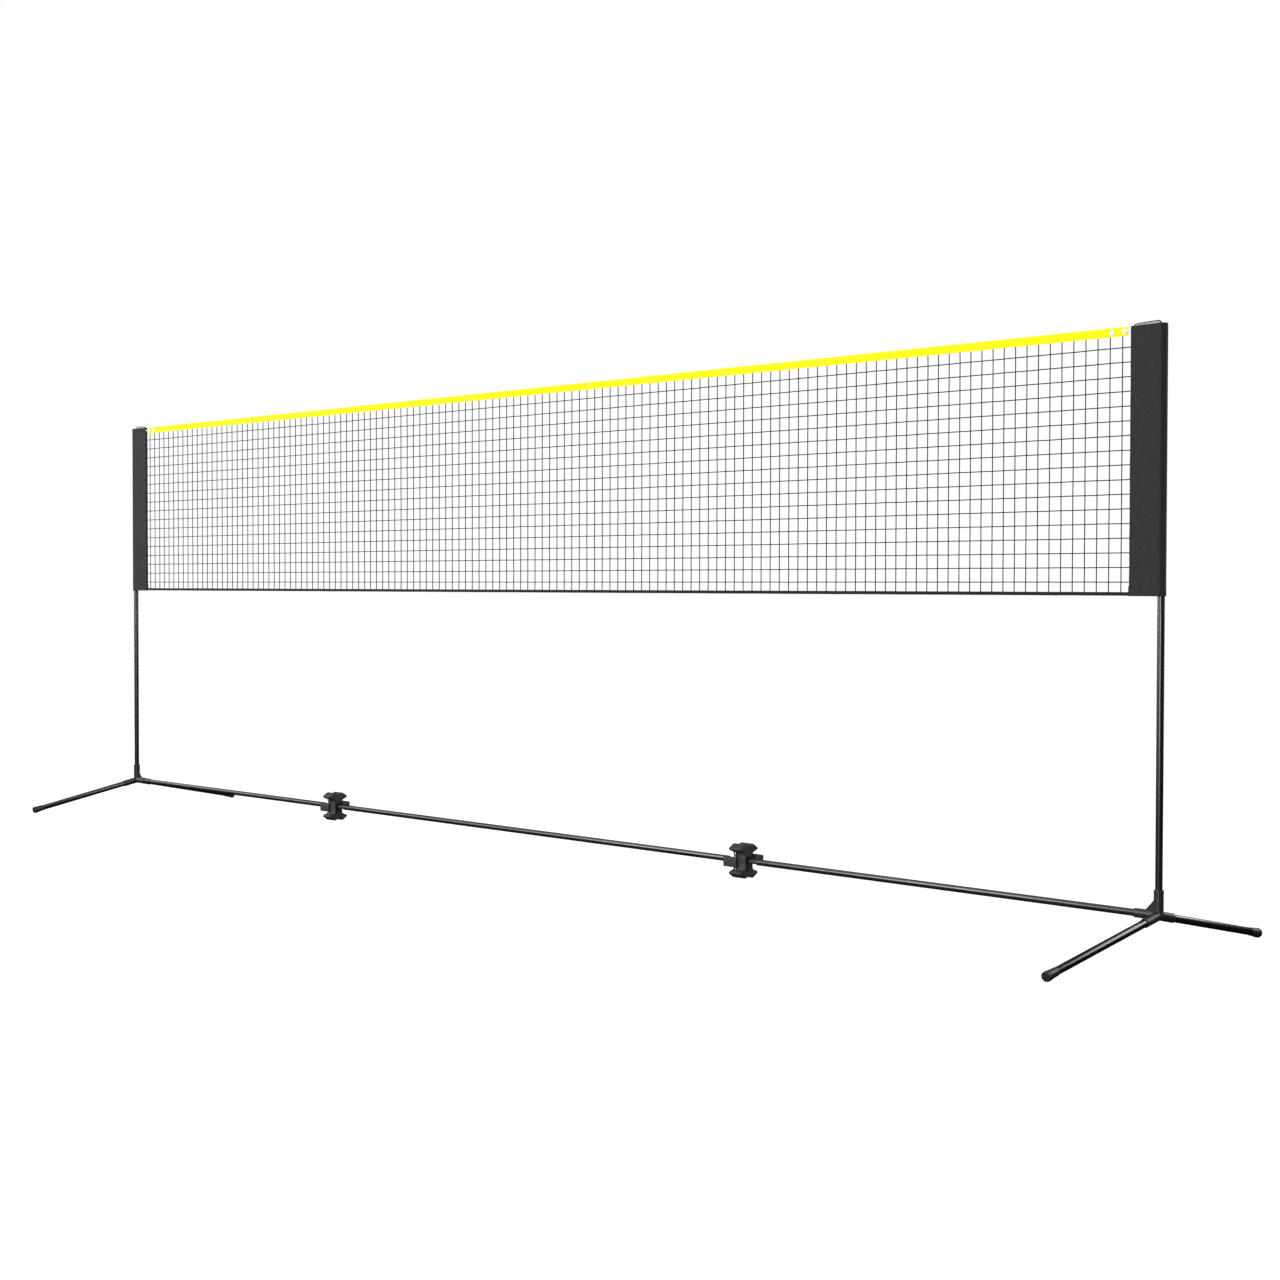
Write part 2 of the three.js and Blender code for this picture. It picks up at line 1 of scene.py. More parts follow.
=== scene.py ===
"""Looks of a portable sports net on a folding ground frame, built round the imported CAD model.
Metres, +Z up, +X along the net. Rigid pieces are finer copies of their CAD nodes, with rounded edges;
the netting, tapes and sleeves are made as thread, folded binding and sewn cloth."""
import json
from math import asin, cos, hypot, pi, radians, sin

import bmesh
import bpy
import numpy as np
from mathutils import Matrix, Vector


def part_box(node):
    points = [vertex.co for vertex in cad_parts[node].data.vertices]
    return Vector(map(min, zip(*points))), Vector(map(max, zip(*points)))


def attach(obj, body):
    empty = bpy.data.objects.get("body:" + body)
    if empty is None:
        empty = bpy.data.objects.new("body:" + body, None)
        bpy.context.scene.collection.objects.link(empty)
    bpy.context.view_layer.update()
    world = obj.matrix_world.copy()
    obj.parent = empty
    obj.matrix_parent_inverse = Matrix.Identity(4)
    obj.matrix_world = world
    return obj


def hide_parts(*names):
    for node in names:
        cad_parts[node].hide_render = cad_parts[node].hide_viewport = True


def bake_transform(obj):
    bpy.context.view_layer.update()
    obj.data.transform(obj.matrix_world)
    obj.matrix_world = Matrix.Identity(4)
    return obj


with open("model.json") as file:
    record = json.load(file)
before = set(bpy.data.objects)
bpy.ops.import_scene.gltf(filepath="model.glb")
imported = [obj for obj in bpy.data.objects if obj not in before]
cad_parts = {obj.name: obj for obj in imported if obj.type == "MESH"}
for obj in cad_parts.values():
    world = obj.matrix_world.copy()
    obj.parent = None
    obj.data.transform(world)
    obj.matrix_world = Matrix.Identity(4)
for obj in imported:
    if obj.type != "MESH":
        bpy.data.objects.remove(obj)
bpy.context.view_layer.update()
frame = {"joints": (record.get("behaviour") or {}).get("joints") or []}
scene = bpy.context.scene
moved = Matrix.Translation

# ------ sizes
MM = 0.001
SIDES = {"right": 1, "left": -1}
ROUND = 64  # sides of a turned piece
FINE_ROUND = 32  # sides of a fastener
EDGE = 0.35 * MM  # usual rounding of a metal edge
TUBE_WALL = 1.2 * MM
UPPER_WALL = MM
HEIGHT_STEPS = 6  # between the seven height holes of a mast
MESH_PITCH = 38 * MM
TWINE_R = 1.55 * MM
CLOTH = 0.9 * MM  # thickness of the sleeve's cloth


def centre(node):
    low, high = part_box(node)
    return (low + high) / 2


def size(node):
    low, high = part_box(node)
    return high - low


BAR_Z = centre("center_bar").z
BAR_R = size("center_bar").z / 2
POLE_X = centre("right_lower_mast").x
FOLD_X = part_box("net_middle")[1].x  # where the net creases when the frame folds
FOLD_ZONE = 33 * MM  # half the width of the net that bends round a fold
SEAM_X = 27 * MESH_PITCH  # between the middle netting and an end's, halfway between two strings
NET_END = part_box("net_right")[1].x
TRAVEL = -next(j for j in frame["joints"] if j["name"] == "net_height")["range_m"][0]

# ------ camera, light and floor
CAMERA_PLACE = (5.6306, -4.6914, 0.957)
CAMERA_YAW = radians(46.884)
CAMERA_DIP = radians(1.475)
CAMERA_ROLL = radians(0.096)
CAMERA_LENS = 59.70  # on a 36 mm sensor


def placed(name, data):
    """A new object in the scene."""
    made = bpy.data.objects.new(name, data)
    scene.collection.objects.link(made)
    return made


def skinned(name, verts, faces, corners=()):
    """An object from points and faces, with the (u, v) of each face's corners in turn."""
    mesh = bpy.data.meshes.new(name)
    mesh.from_pydata([tuple(v) for v in verts], [], faces)
    if corners:
        layer = mesh.uv_layers.new(name="cloth")
        layer.data.foreach_set("uv", np.array(corners, np.float32).ravel())
    return placed(name, mesh)


def add_camera():
    data = bpy.data.cameras.new("camera")
    data.sensor_width = 36
    data.lens = CAMERA_LENS
    data.clip_end = 200
    camera = placed("camera", data)
    turn = Matrix.Rotation(CAMERA_YAW, 4, "Z") @ Matrix.Rotation(pi / 2 - CAMERA_DIP, 4, "X")
    camera.matrix_world = moved(CAMERA_PLACE) @ turn @ Matrix.Rotation(CAMERA_ROLL, 4, "Z")
    scene.camera = camera


def add_softbox(name, place, target, width, height, radiance):
    data = bpy.data.lights.new(name, "AREA")
    data.shape = "RECTANGLE"
    data.size = width
    data.size_y = height
    data.energy = radiance * pi * width * height
    light = placed(name, data)
    light.location = place
    light.rotation_euler = (Vector(target) - Vector(place)).to_track_quat("-Z", "Y").to_euler()
    light.visible_camera = False


def add_world(ambient):
    """White where the camera sees it, and a soft even light for matt surfaces."""
    world = bpy.data.worlds.new("studio")
    world.use_nodes = True
    scene.world = world
    tree = world.node_tree
    rays = tree.nodes.new("ShaderNodeLightPath")
    fill = tree.nodes.new("ShaderNodeMath")
    fill.operation = "MULTIPLY_ADD"
    fill.inputs[1].default_value = ambient
    background = tree.nodes["Background"]
    background.inputs["Color"].default_value = (1, 1, 1, 1)
    tree.links.new(rays.outputs["Is Diffuse Ray"], fill.inputs[0])
    tree.links.new(rays.outputs["Is Camera Ray"], fill.inputs[2])
    tree.links.new(fill.outputs[0], background.inputs["Strength"])


def add_floor():
    """Evenly white, and never so much brighter than white that thin cords are lost against it."""
    reach = 60
    corners = [(-reach, -reach, 0), (reach, -reach, 0), (reach, reach, 0), (-reach, reach, 0)]
    floor = skinned("floor", corners, [(0, 1, 2, 3)])
    floor.location.z = -0.3 * MM
    floor.visible_glossy = False
    floor.visible_diffuse = False
    paint = Graph("floor_paint")
    paint.feed("Base Color", paint.between(paint.noise(1.5), grey(0.11), grey(0.13)))
    paint.feed("Roughness", 0.9)
    paint.feed("Specular IOR Level", 0.0)
    paint.feed("Emission Color", grey(1))
    paint.feed("Emission Strength", 0.97)
    floor.data.materials.append(paint.material)


# ------ materials
def grey(value):
    return (value, value, value, 1)


class Graph:
    """A material's node tree, with short ways to add nodes and wire them."""

    def __init__(self, name):
        self.material = bpy.data.materials.new(name)
        self.material.use_nodes = True
        self.tree = self.material.node_tree
        self.shader = self.tree.nodes["Principled BSDF"]

    def node(self, kind, **settings):
        made = self.tree.nodes.new("ShaderNode" + kind)
        for setting, value in settings.items():
            setattr(made, setting, value)
        return made

    def join(self, socket, value):
        if isinstance(value, bpy.types.NodeSocket):
            self.tree.links.new(value, socket)
        else:
            socket.default_value = value

    def feed(self, name, value):
        self.join(self.shader.inputs[name], value)

    def math(self, operation, first, second=0.0):
        made = self.node("Math", operation=operation)
        self.join(made.inputs[0], first)
        self.join(made.inputs[1], second)
        return made.outputs[0]

    def place(self, kind="Object"):
        return self.node("TexCoord").outputs[kind]

    def split(self, vector):
        made = self.node("SeparateXYZ")
        self.join(made.inputs[0], vector)
        return made.outputs

    def noise(self, scale, detail=2.0):
        made = self.node("TexNoise")
        self.join(made.inputs["Vector"], self.place())
        made.inputs["Scale"].default_value = scale
        made.inputs["Detail"].default_value = detail
        return made.outputs["Fac"]

    def spread(self, value, low, high, start=0.0, end=1.0):
        """The value, with start to end taken to low to high."""
        made = self.node("MapRange")
        for socket, number in zip(made.inputs, (value, start, end, low, high)):
            self.join(socket, number)
        return made.outputs[0]

    def between(self, share, first, second):
        made = self.node("Mix", data_type="RGBA")
        self.join(made.inputs[0], share)
        self.join(made.inputs[6], first)
        self.join(made.inputs[7], second)
        return made.outputs[2]

    def relief(self, height, depth, strength=1.0):
        made = self.node("Bump")
        made.inputs["Strength"].default_value = strength
        made.inputs["Distance"].default_value = depth
        self.join(made.inputs["Height"], height)
        self.feed("Normal", made.outputs["Normal"])


def powder_coat(name, tone, gloss):
    """Black paint baked on steel: a fine orange peel, rubbed a little in patches."""
    paint = Graph(name)
    patches = paint.noise(9, 4)
    rubbed = paint.spread(patches, 0, 1, 0.35, 0.7)
    paint.feed("Base Color", paint.between(rubbed, grey(tone), grey(1.9 * tone)))
    dulled = paint.spread(patches, gloss, gloss + 0.1)
    paint.feed("Roughness", paint.math("ADD", dulled, paint.spread(paint.noise(420), 0, 0.06)))
    paint.feed("Specular IOR Level", 0.75)
    paint.relief(paint.noise(750, 1), 0.03 * MM, 0.5)
    return paint.material


def moulded(name, tone, rough, grain):
    """Moulded nylon or rubber: fine spark-eroded grain and faint flow marks."""
    paint = Graph(name)
    flow = paint.noise(38, 5)
    colour = paint.between(paint.spread(flow, 0, 1, 0.3, 0.75), grey(tone), grey(1.5 * tone))
    specks = paint.spread(paint.noise(2600, 1), 0, 0.25, 0.5, 0.8)
    paint.feed("Base Color", paint.between(specks, colour, grey(2.6 * tone)))
    paint.feed("Roughness", paint.spread(flow, rough - 0.06, rough + 0.08))
    paint.feed("Specular IOR Level", 0.4)
    paint.relief(paint.math("ADD", paint.noise(1700, 2), paint.math("MULTIPLY", flow, 0.5)), grain)
    return paint.material


def bright_steel(name):
    """Zinc-plated steel, finely brushed, duller in patches."""
    paint = Graph(name)
    scratches = paint.noise(3000, 6)
    dull = paint.noise(220, 3)
    paint.feed("Base Color", paint.between(dull, (0.56, 0.56, 0.57, 1), (0.74, 0.74, 0.73, 1)))
    paint.feed("Metallic", 1.0)
    paint.feed("Roughness", paint.spread(dull, 0.22, 0.42))
    paint.relief(scratches, 0.01 * MM)
    return paint.material


def enamel(name):
    """White lacquer on a rolled brass eyelet, greyer where it has worn."""
    paint = Graph(name)
    wear = paint.spread(paint.noise(600, 4), 0, 1, 0.55, 0.75)
    paint.feed("Base Color", paint.between(wear, grey(0.86), grey(0.6)))
    paint.feed("Roughness", paint.spread(wear, 0.28, 0.5))
    paint.relief(wear, 0.01 * MM)
    return paint.material


def woven(name, first, second, pitch, depth, fuzz):
    """Plain-woven cloth: yarns that pass over and under by the mesh's own lengthwise coordinates."""
    paint = Graph(name)
    across, along, _ = paint.split(paint.place("UV"))
    turns = 2 * pi / pitch
    waves = [paint.math("SINE", paint.math("MULTIPLY", axis, turns)) for axis in (across, along)]
    crossing = paint.spread(paint.math("MULTIPLY", *waves), 0, 1, -1, 1)
    slub = paint.noise(90, 4)
    shade = paint.math("ADD", paint.math("MULTIPLY", crossing, 0.45), paint.spread(slub, 0, 0.6, 0.3, 0.7))
    paint.feed("Base Color", paint.between(shade, first, second))
    paint.feed("Roughness", paint.spread(crossing, 0.93, 0.85))
    paint.feed("Specular IOR Level", 0.25)
    paint.feed("Sheen Weight", fuzz)
    paint.feed("Sheen Roughness", 0.5)
    yarns = paint.math("ADD", crossing, paint.spread(paint.noise(2200, 3), 0, 0.35))
    paint.relief(yarns, depth)
    return paint.material


def twisted(name, first, second, lay, depth):
    """Laid or braided cord: strands that wind round it, by its mesh's round-and-along coordinates."""
    paint = Graph(name)
    around, along, _ = paint.split(paint.place("UV"))
    forward = paint.math("MULTIPLY", along, 2 * pi / lay)
    turn = paint.math("ADD", forward, paint.math("MULTIPLY", around, 4 * pi))
    strands = paint.spread(paint.math("SINE", turn), 0, 1, -1, 1)
    shade = paint.math("ADD", paint.math("MULTIPLY", strands, 0.6), paint.spread(paint.noise(300, 3), 0, 0.4))
    paint.feed("Base Color", paint.between(shade, first, second))
    paint.feed("Roughness", paint.spread(strands, 0.9, 0.8))
    paint.feed("Specular IOR Level", 0.25)
    paint.relief(strands, depth)
    return paint.material


# ------ mesh tools
TO_X = Matrix.Rotation(pi / 2, 4, "Y")  # takes +Z to +X
TO_Y = Matrix.Rotation(-pi / 2, 4, "X")  # takes +Z to +Y
SECTION_ALONG_X = Matrix(((0, 0, 1, 0), (1, 0, 0, 0), (0, 1, 0, 0), (0, 0, 0, 1)))


def filleted(points, radius, steps=3, closed=True):
    """The outline with each corner rounded by a short curve."""
    corners = [Vector(p) for p in points]
    made = []
    for i, corner in enumerate(corners):
        if not closed and i in (0, len(corners) - 1):
            made.append(corner)
            continue
        before, after = corners[i - 1], corners[(i + 1) % len(corners)]
        start = corner + (before - corner) * min(radius / (before - corner).length, 0.45)
        end = corner + (after - corner) * min(radius / (after - corner).length, 0.45)
        for step in range(steps + 1):
            t = step / steps
            made.append(start * (1 - t) ** 2 + corner * 2 * t * (1 - t) + end * t**2)
    return made


def arc(middle, radius, start, end, steps):
    """Points of an arc, from and to angles in degrees."""
    angles = np.radians(np.linspace(start, end, steps + 1))
    return [(middle[0] + radius * cos(a), middle[1] + radius * sin(a)) for a in angles]


def lathe(profile, place, closed=False, sides=ROUND):
    """A mesh turned about local +Z from (radius, height) points. A closed profile is a ring's section."""
    bm = bmesh.new()
    rings = []
    for radius, height in profile:
        if radius < 1e-7:
            rings.append([bm.verts.new((0, 0, height))] * sides)
            continue
        rings.append([
            bm.verts.new((radius * cos(a), radius * sin(a), height))
            for a in np.linspace(0, 2 * pi, sides, endpoint=False)
        ])
    pairs = list(zip(rings, rings[1:])) + ([(rings[-1], rings[0])] if closed else [])
    for lower, upper in pairs:
        for i in range(sides):
            j = (i + 1) % sides
            around = list(dict.fromkeys((lower[i], lower[j], upper[j], upper[i])))
            if len(around) > 2:
                bm.faces.new(around)
    bmesh.ops.recalc_face_normals(bm, faces=bm.faces)
    bm.transform(place)
    return bm


def bore(radius, start, end, place, sides=ROUND):
    return lathe([(0, start), (radius, start), (radius, end), (0, end)], place, sides=sides)


def tube_profile(outer, inner, low, high):
    return filleted([(outer, low), (outer, high), (inner, high), (inner, low)], EDGE)


def prism(outline, low, high, place):
    """An outline in local X and Y, carried from low to high along local Z."""
    bm = bmesh.new()
    ends = [[bm.verts.new((x, y, z)) for x, y in outline] for z in (low, high)]
    for i in range(len(outline)):
        j = (i + 1) % len(outline)
        bm.faces.new((ends[0][i], ends[0][j], ends[1][j], ends[1][i]))
    bm.faces.new(reversed(ends[0]))
    bm.faces.new(ends[1])
    bmesh.ops.recalc_face_normals(bm, faces=bm.faces)
    bm.transform(place)
    return bm


def to_object(name, bm):
    mesh = bpy.data.meshes.new(name)
    bm.to_mesh(mesh)
    bm.free()
    return placed(name, mesh)


def apply_modifiers(piece):
    shown = piece.evaluated_get(bpy.context.evaluated_depsgraph_get())
    piece_mesh = bpy.data.meshes.new_from_object(shown)
    piece.modifiers.clear()
    piece.data = piece_mesh


def carve(piece, tools, operation="DIFFERENCE"):
    """Cuts the tools' meshes from the piece, or joins them to it, in millimetres about the piece."""
    corners = np.array([v.co for v in piece.data.vertices])
    home = moved((corners.min(0) + corners.max(0)) / 2) @ Matrix.Scale(MM, 4)
    piece.data.transform(home.inverted())
    cutters = [to_object("tool", bm) for bm in tools]
    for cutter in cutters:
        cutter.data.transform(home.inverted())
        step = piece.modifiers.new("carve", "BOOLEAN")
        step.operation = operation
        step.solver = "EXACT"
        step.use_self = operation == "UNION"
        step.object = cutter
    apply_modifiers(piece)
    piece.data.transform(home)
    for cutter in cutters:
        bpy.data.objects.remove(cutter)


def soften(piece, width):
    """Rounds every sharp edge."""
    step = piece.modifiers.new("soften", "BEVEL")
    step.width = width
    step.segments = 3
    step.limit_method = "ANGLE"
    step.angle_limit = radians(50)
    apply_modifiers(piece)


def smooth(piece, angle=32):
    piece.data.shade_smooth()
    piece.data.set_sharp_from_angle(angle=radians(angle))


def dress(piece, material, slot, *nodes):
    """Gives a piece its material and hides the CAD nodes that it stands for."""
    piece.data.materials.append(material)
    if nodes:
        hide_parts(*nodes)


def finish(piece, material, body, slot, *nodes):
    """Dresses a rigid piece, shades it and joins it to its body."""
    piece.data.materials.clear()
    smooth(piece)
    if body:
        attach(piece, body)
    dress(piece, material, slot, *nodes)
    return piece


# ------ tubes and masts
BUTTON_HOLE_R = 3.6 * MM


def add_straight_tube(node, place, wall, body, holes=()):
    """A finer copy of an upright or level CAD tube, with rounded rims, and holes at the given heights."""
    low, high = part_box(node)
    middle, span = (low + high) / 2, high - low
    radius, half = min(span) / 2, max(span) / 2
    bm = lathe(tube_profile(radius, radius - wall, -half, half), moved(middle) @ place, True)
    tube = to_object(f"{node}_tube", bm)
    if holes:
        carve(tube, [bore(BUTTON_HOLE_R, 0, 15 * MM, moved((middle.x, 0, z)) @ TO_Y, FINE_ROUND)
                     for z in holes])
    return finish(tube, STEEL_PAINT, body, "black_steel_tube", node)


def add_masts(side):
    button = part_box(f"{side}_snap_button")
    button_middle = (button[0] + button[1]) / 2
    heights = [button_middle.z - step * TRAVEL / HEIGHT_STEPS for step in range(HEIGHT_STEPS + 1)]
    upright = Matrix.Identity(4)
    add_straight_tube(f"{side}_lower_mast", upright, TUBE_WALL, f"{side}_wing", heights)
    add_straight_tube(f"{side}_upper_mast", upright, UPPER_WALL, f"{side}_mast", [button_middle.z])

    stem_r, flange_r = 3.2 * MM, size(f"{side}_snap_button").x / 2
    start, end = button[0].y, button[1].y
    dome = [(stem_r * cos(a), end - 2.6 * MM + 2.6 * MM * sin(a)) for a in np.linspace(0, pi / 2, 9)]
    stem = filleted([(0, start), (flange_r, start), (flange_r, start + 1.2 * MM),
                     (stem_r, start + 1.2 * MM), dome[0]], 0.25 * MM, closed=False)
    place = moved((button_middle.x, 0, button_middle.z)) @ TO_Y
    pin = to_object(f"{side}_snap_button_pin", lathe(stem + dome[1:], place, sides=FINE_ROUND))
    finish(pin, BRIGHT_STEEL, f"{side}_button", "bright_steel", f"{side}_snap_button")

    low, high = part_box(f"{side}_mast_cap")
    head_r = (high.x - low.x) / 2
    plug_r, head_low = 6.7 * MM, high.z - 4.2 * MM
    profile = filleted([
        (0, low.z), (plug_r - MM, low.z), (plug_r, low.z + 3 * MM), (plug_r, head_low),
        (head_r, head_low), (head_r, high.z - 1.2 * MM), (head_r - 2 * MM, high.z - 0.3 * MM), (0, high.z),
    ], 0.6 * MM, closed=False)
    cap = to_object(f"{side}_mast_cap_plug", lathe(profile, moved((button_middle.x, 0, 0))))
    finish(cap, CAP_RUBBER, f"{side}_mast", "cap_rubber", f"{side}_mast_cap")


def add_spring(side):
    """A V of spring strip in the mast: one leg bears on the front wall, the other leg runs up to the button.
    """
    node = f"{side}_snap_spring"
    low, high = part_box(node)
    leaf, bend_r = 0.8 * MM, 3 * MM
    bend = (low.y + bend_r, low.z + bend_r)
    half = (high.x - low.x) / 2
    place = moved(((low.x + high.x) / 2, 0, 0)) @ SECTION_ALONG_X
    outline = [(low.y, high.z), *arc(bend, bend_r, 180, 360, 16), *arc(bend, bend_r - leaf, 360, 180, 16),
               (low.y + leaf, high.z)]
    strip = to_object(f"{node}_strip", prism(outline, -half, half, place))
    finish(strip, BRIGHT_STEEL, f"{side}_mast", "bright_steel", node)

    face = [(bend[0] + bend_r + (high.y - bend[0] - bend_r) * t, bend[1] + (high.z - bend[1]) * t)
            for t in np.linspace(0, 1, 31)]
    outline = face + [(y - leaf, z) for y, z in reversed(face)]
    leg = to_object(f"{node}_leg", prism(outline, -half, half, place))
    finish(leg, BRIGHT_STEEL, None, "bright_steel")
    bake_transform(leg)


# ------ hubs, feet and caps
def hub_centre(side):
    return Vector((SIDES[side] * POLE_X, 0, BAR_Z))


def foot_place(side, foot):
    """A matrix whose +Z runs down the foot from the hub's centre."""
    start = hub_centre(side)
    direction = centre(f"{side}_{foot}_foot") - start
    return moved(start) @ direction.to_track_quat("Z", "X").to_matrix().to_4x4()


def foot_slope(side, foot):
    along = centre(f"{side}_{foot}_foot") - hub_centre(side)
    return asin(-along.z / along.length)


FOOT_R = 10.5 * MM
CAP_END_R = 11.5 * MM


def add_foot(side, foot):
    node = f"{side}_{foot}_foot"
    slope = foot_slope(side, foot)
    middle = (centre(node) - hub_centre(side)).length
    half = (size(node).y / 2 - FOOT_R * sin(slope)) / cos(slope)
    place = foot_place(side, foot)
    profile = tube_profile(FOOT_R, FOOT_R - TUBE_WALL, middle - half, middle + half)
    leg = to_object(f"{node}_tube", lathe(profile, place, True))
    finish(leg, FOOT_PAINT, f"{side}_wing", "black_steel_tube", node)

    cap = f"{node}_cap"
    far = max(abs(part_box(cap)[0].y), abs(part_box(cap)[1].y))
    end = (far - CAP_END_R * sin(slope)) / cos(slope)
    seat = middle + half + 0.3 * MM
    outside = [  # radius and distance before the end, in millimetres
        (10.9, 44), (11.5, 43.2), (11.8, 31), (12.4, 21), (13.2, 13.2), (13.4, 11.4),
        (12.5, 10.6), (12.5, 9.6), (13.4, 8.8), (13.4, 2.6), (12.7, 0.7), (11.8, 0.0), (10.9, 0.1),
        (10.4, 0.9), (9.4, 0.8), (5.0, 0.3), (0, 0.1),
    ]
    inner = FOOT_R + 0.3 * MM
    profile = [(0, seat), (inner, seat), (inner, end - 44 * MM)]
    profile += filleted([(r * MM, end - d * MM) for r, d in outside], 0.5 * MM, closed=False)
    bm = lathe(profile, place)
    for vert in bm.verts:
        vert.co.z = max(vert.co.z, 0)  # the flat that it stands on
    finish(to_object(f"{cap}_boot", bm), CAP_RUBBER, f"{side}_wing", "cap_rubber", cap)


def socket(radius, start, length, place, bead):
    """A solid round arm from the hub's centre, with a slight bead and a rounded rim at its mouth."""
    profile = filleted([
        (0, start), (radius, start), (radius, length - 6 * MM), (radius + bead, length - 5 * MM),
        (radius + bead, length - 0.8 * MM), (radius - 0.3 * MM, length), (0, length),
    ], 0.7 * MM, closed=False)
    return lathe(profile, place)


def add_hub(side):
    node = f"{side}_hub"
    inboard = -SIDES[side]
    start = hub_centre(side)
    at_hub = moved(start)
    along_bar = at_hub @ Matrix.Rotation(inboard * pi / 2, 4, "Y")
    low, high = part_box(node)
    mast_end = high.z - start.z
    bar_end = max(abs(low.x - start.x), abs(high.x - start.x))
    foot_end = 65 * MM
    feet = [foot_place(side, foot) for foot in ("front", "back")]

    hub = to_object(f"{side}_hub_moulding", socket(12.8 * MM, -6 * MM, mast_end, at_hub, 0.3 * MM))
    gusset = [(0, 0), (inboard * 44 * MM, 6 * MM), (inboard * 12 * MM, 40 * MM), (0, 40 * MM)]
    upright = at_hub @ Matrix.Rotation(pi / 2, 4, "X")
    carve(hub, [
        lathe(arc((0, 0), 13 * MM, -90, 90, 32), at_hub),
        socket(12.25 * MM, 0, bar_end, along_bar, 0.2 * MM),
        *[socket(12.5 * MM, 0, foot_end, place, 0.3 * MM) for place in feet],
        prism(filleted(gusset, 1.5 * MM), -2.5 * MM, 2.5 * MM, upright),
    ], "UNION")
    mouth = 5 * MM
    carve(hub, [
        bore(BAR_R + 0.3 * MM, 14 * MM, mast_end + mouth, at_hub),
        bore(BAR_R + 0.3 * MM, 16 * MM, bar_end + mouth, along_bar),
        *[bore(FOOT_R + 0.3 * MM, 16 * MM, foot_end + mouth, place) for place in feet],
    ])
    finish(hub, HUB_PLASTIC, f"{side}_wing", "hub_plastic", node)


# ------ clips, plugs and fasteners
def clip_outline(sign):
    """Half of a clip's hourglass section, as Y and Z about the bar's axis."""
    upper = [(16.5, 21.0), (19.6, 26.4), *arc((34.5, 37), 4.5, -69, 57, 5), (19.5, 52.5), (12.5, 52.5),
             (9, 49.5), (0.15, 49.5)]
    lower = [(y, -z) for y, z in reversed(upper)]
    rounded = filleted([*lower, *upper], 2.2)
    split_low = [p for p in rounded if p[0] < 0.2 and p[1] < 0]
    outline = [p for p in rounded if p not in split_low] + arc((0, 0), 7.3, 88.8, -88.8, 16) + split_low
    return [(sign * y * MM, z * MM) for y, z in outline]


def add_clip(side):
    middle = centre(f"{side}_clip_front").x
    half = size(f"{side}_clip_front").x / 2
    at_clip = moved((middle, 0, BAR_Z))
    screws = [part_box(f"{side}_clip_screw_{name}") for name in ("upper", "lower")]
    for name, sign in (("front", -1), ("back", 1)):
        node = f"{side}_clip_{name}"
        piece = to_object(f"{node}_jaw", prism(clip_outline(sign), -half, half, at_clip @ SECTION_ALONG_X))
        soften(piece, 1.2 * MM)
        pin = centre(f"{side}_{'plug_rivet' if sign * SIDES[side] < 0 else 'hinge_pin'}")
        tools = [bore(2.5 * MM, -60 * MM, 60 * MM, moved(pin))]
        for end in (-1, 1):
            cone = [(0, half - 9 * MM), (8 * MM, half - 9 * MM), (15.5 * MM, half + MM), (0, half + MM)]
            tools.append(lathe(cone, at_clip @ Matrix.Rotation(end * pi / 2, 4, "Y")))
        for low, high in screws:
            x, z = (low.x + high.x) / 2, (low.z + high.z) / 2
            shank = moved((x, 0, z)) @ TO_Y
            tools.append(bore(1.9 * MM, -55 * MM, 10.4 * MM, shank))
            tools.append(bore(3.3 * MM, -55 * MM, -13.5 * MM, shank))
        carve(piece, tools)
        finish(piece, CLIP_PLASTIC, "center_frame", "clip_plastic", node)


def add_screw(side, name):
    node = f"{side}_clip_screw_{name}"
    low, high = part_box(node)
    middle = (low + high) / 2
    length = high.y - low.y
    head_r = (high.x - low.x) / 2
    threads = [(1.6 - 0.35 * (i % 2), 3.2 + 0.45 * i) for i in range(44)]
    profile = [(0, 0), (head_r / MM - 0.5, 0), (head_r / MM, 0.5), (head_r / MM, 2.0), (1.6, 2.6),
               *threads, (0, length / MM)]
    place = moved((middle.x, low.y, middle.z)) @ TO_Y
    screw = to_object(f"{node}_bolt", lathe([(r * MM, h * MM) for r, h in profile], place, sides=FINE_ROUND))
    hexagon = [(1.5 * MM * cos(a), 1.5 * MM * sin(a)) for a in np.arange(6) * pi / 3]
    carve(screw, [prism(hexagon, -MM, 1.3 * MM, place)])
    finish(screw, BRIGHT_STEEL, "center_frame", "bright_steel", node)


def add_pin(node):
    low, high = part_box(node)
    middle, radius, half = (low + high) / 2, (high.x - low.x) / 2, (high.z - low.z) / 2
    profile = filleted([(0, -half), (radius - 0.5 * MM, -half), (radius, -half + MM), (radius, half - MM),
                        (radius - 0.5 * MM, half), (0, half)], 0.4 * MM, closed=False)
    pin = to_object(f"{node}_rod", lathe(profile, moved(middle), sides=FINE_ROUND))
    finish(pin, BRIGHT_STEEL, "center_frame", "bright_steel", node)


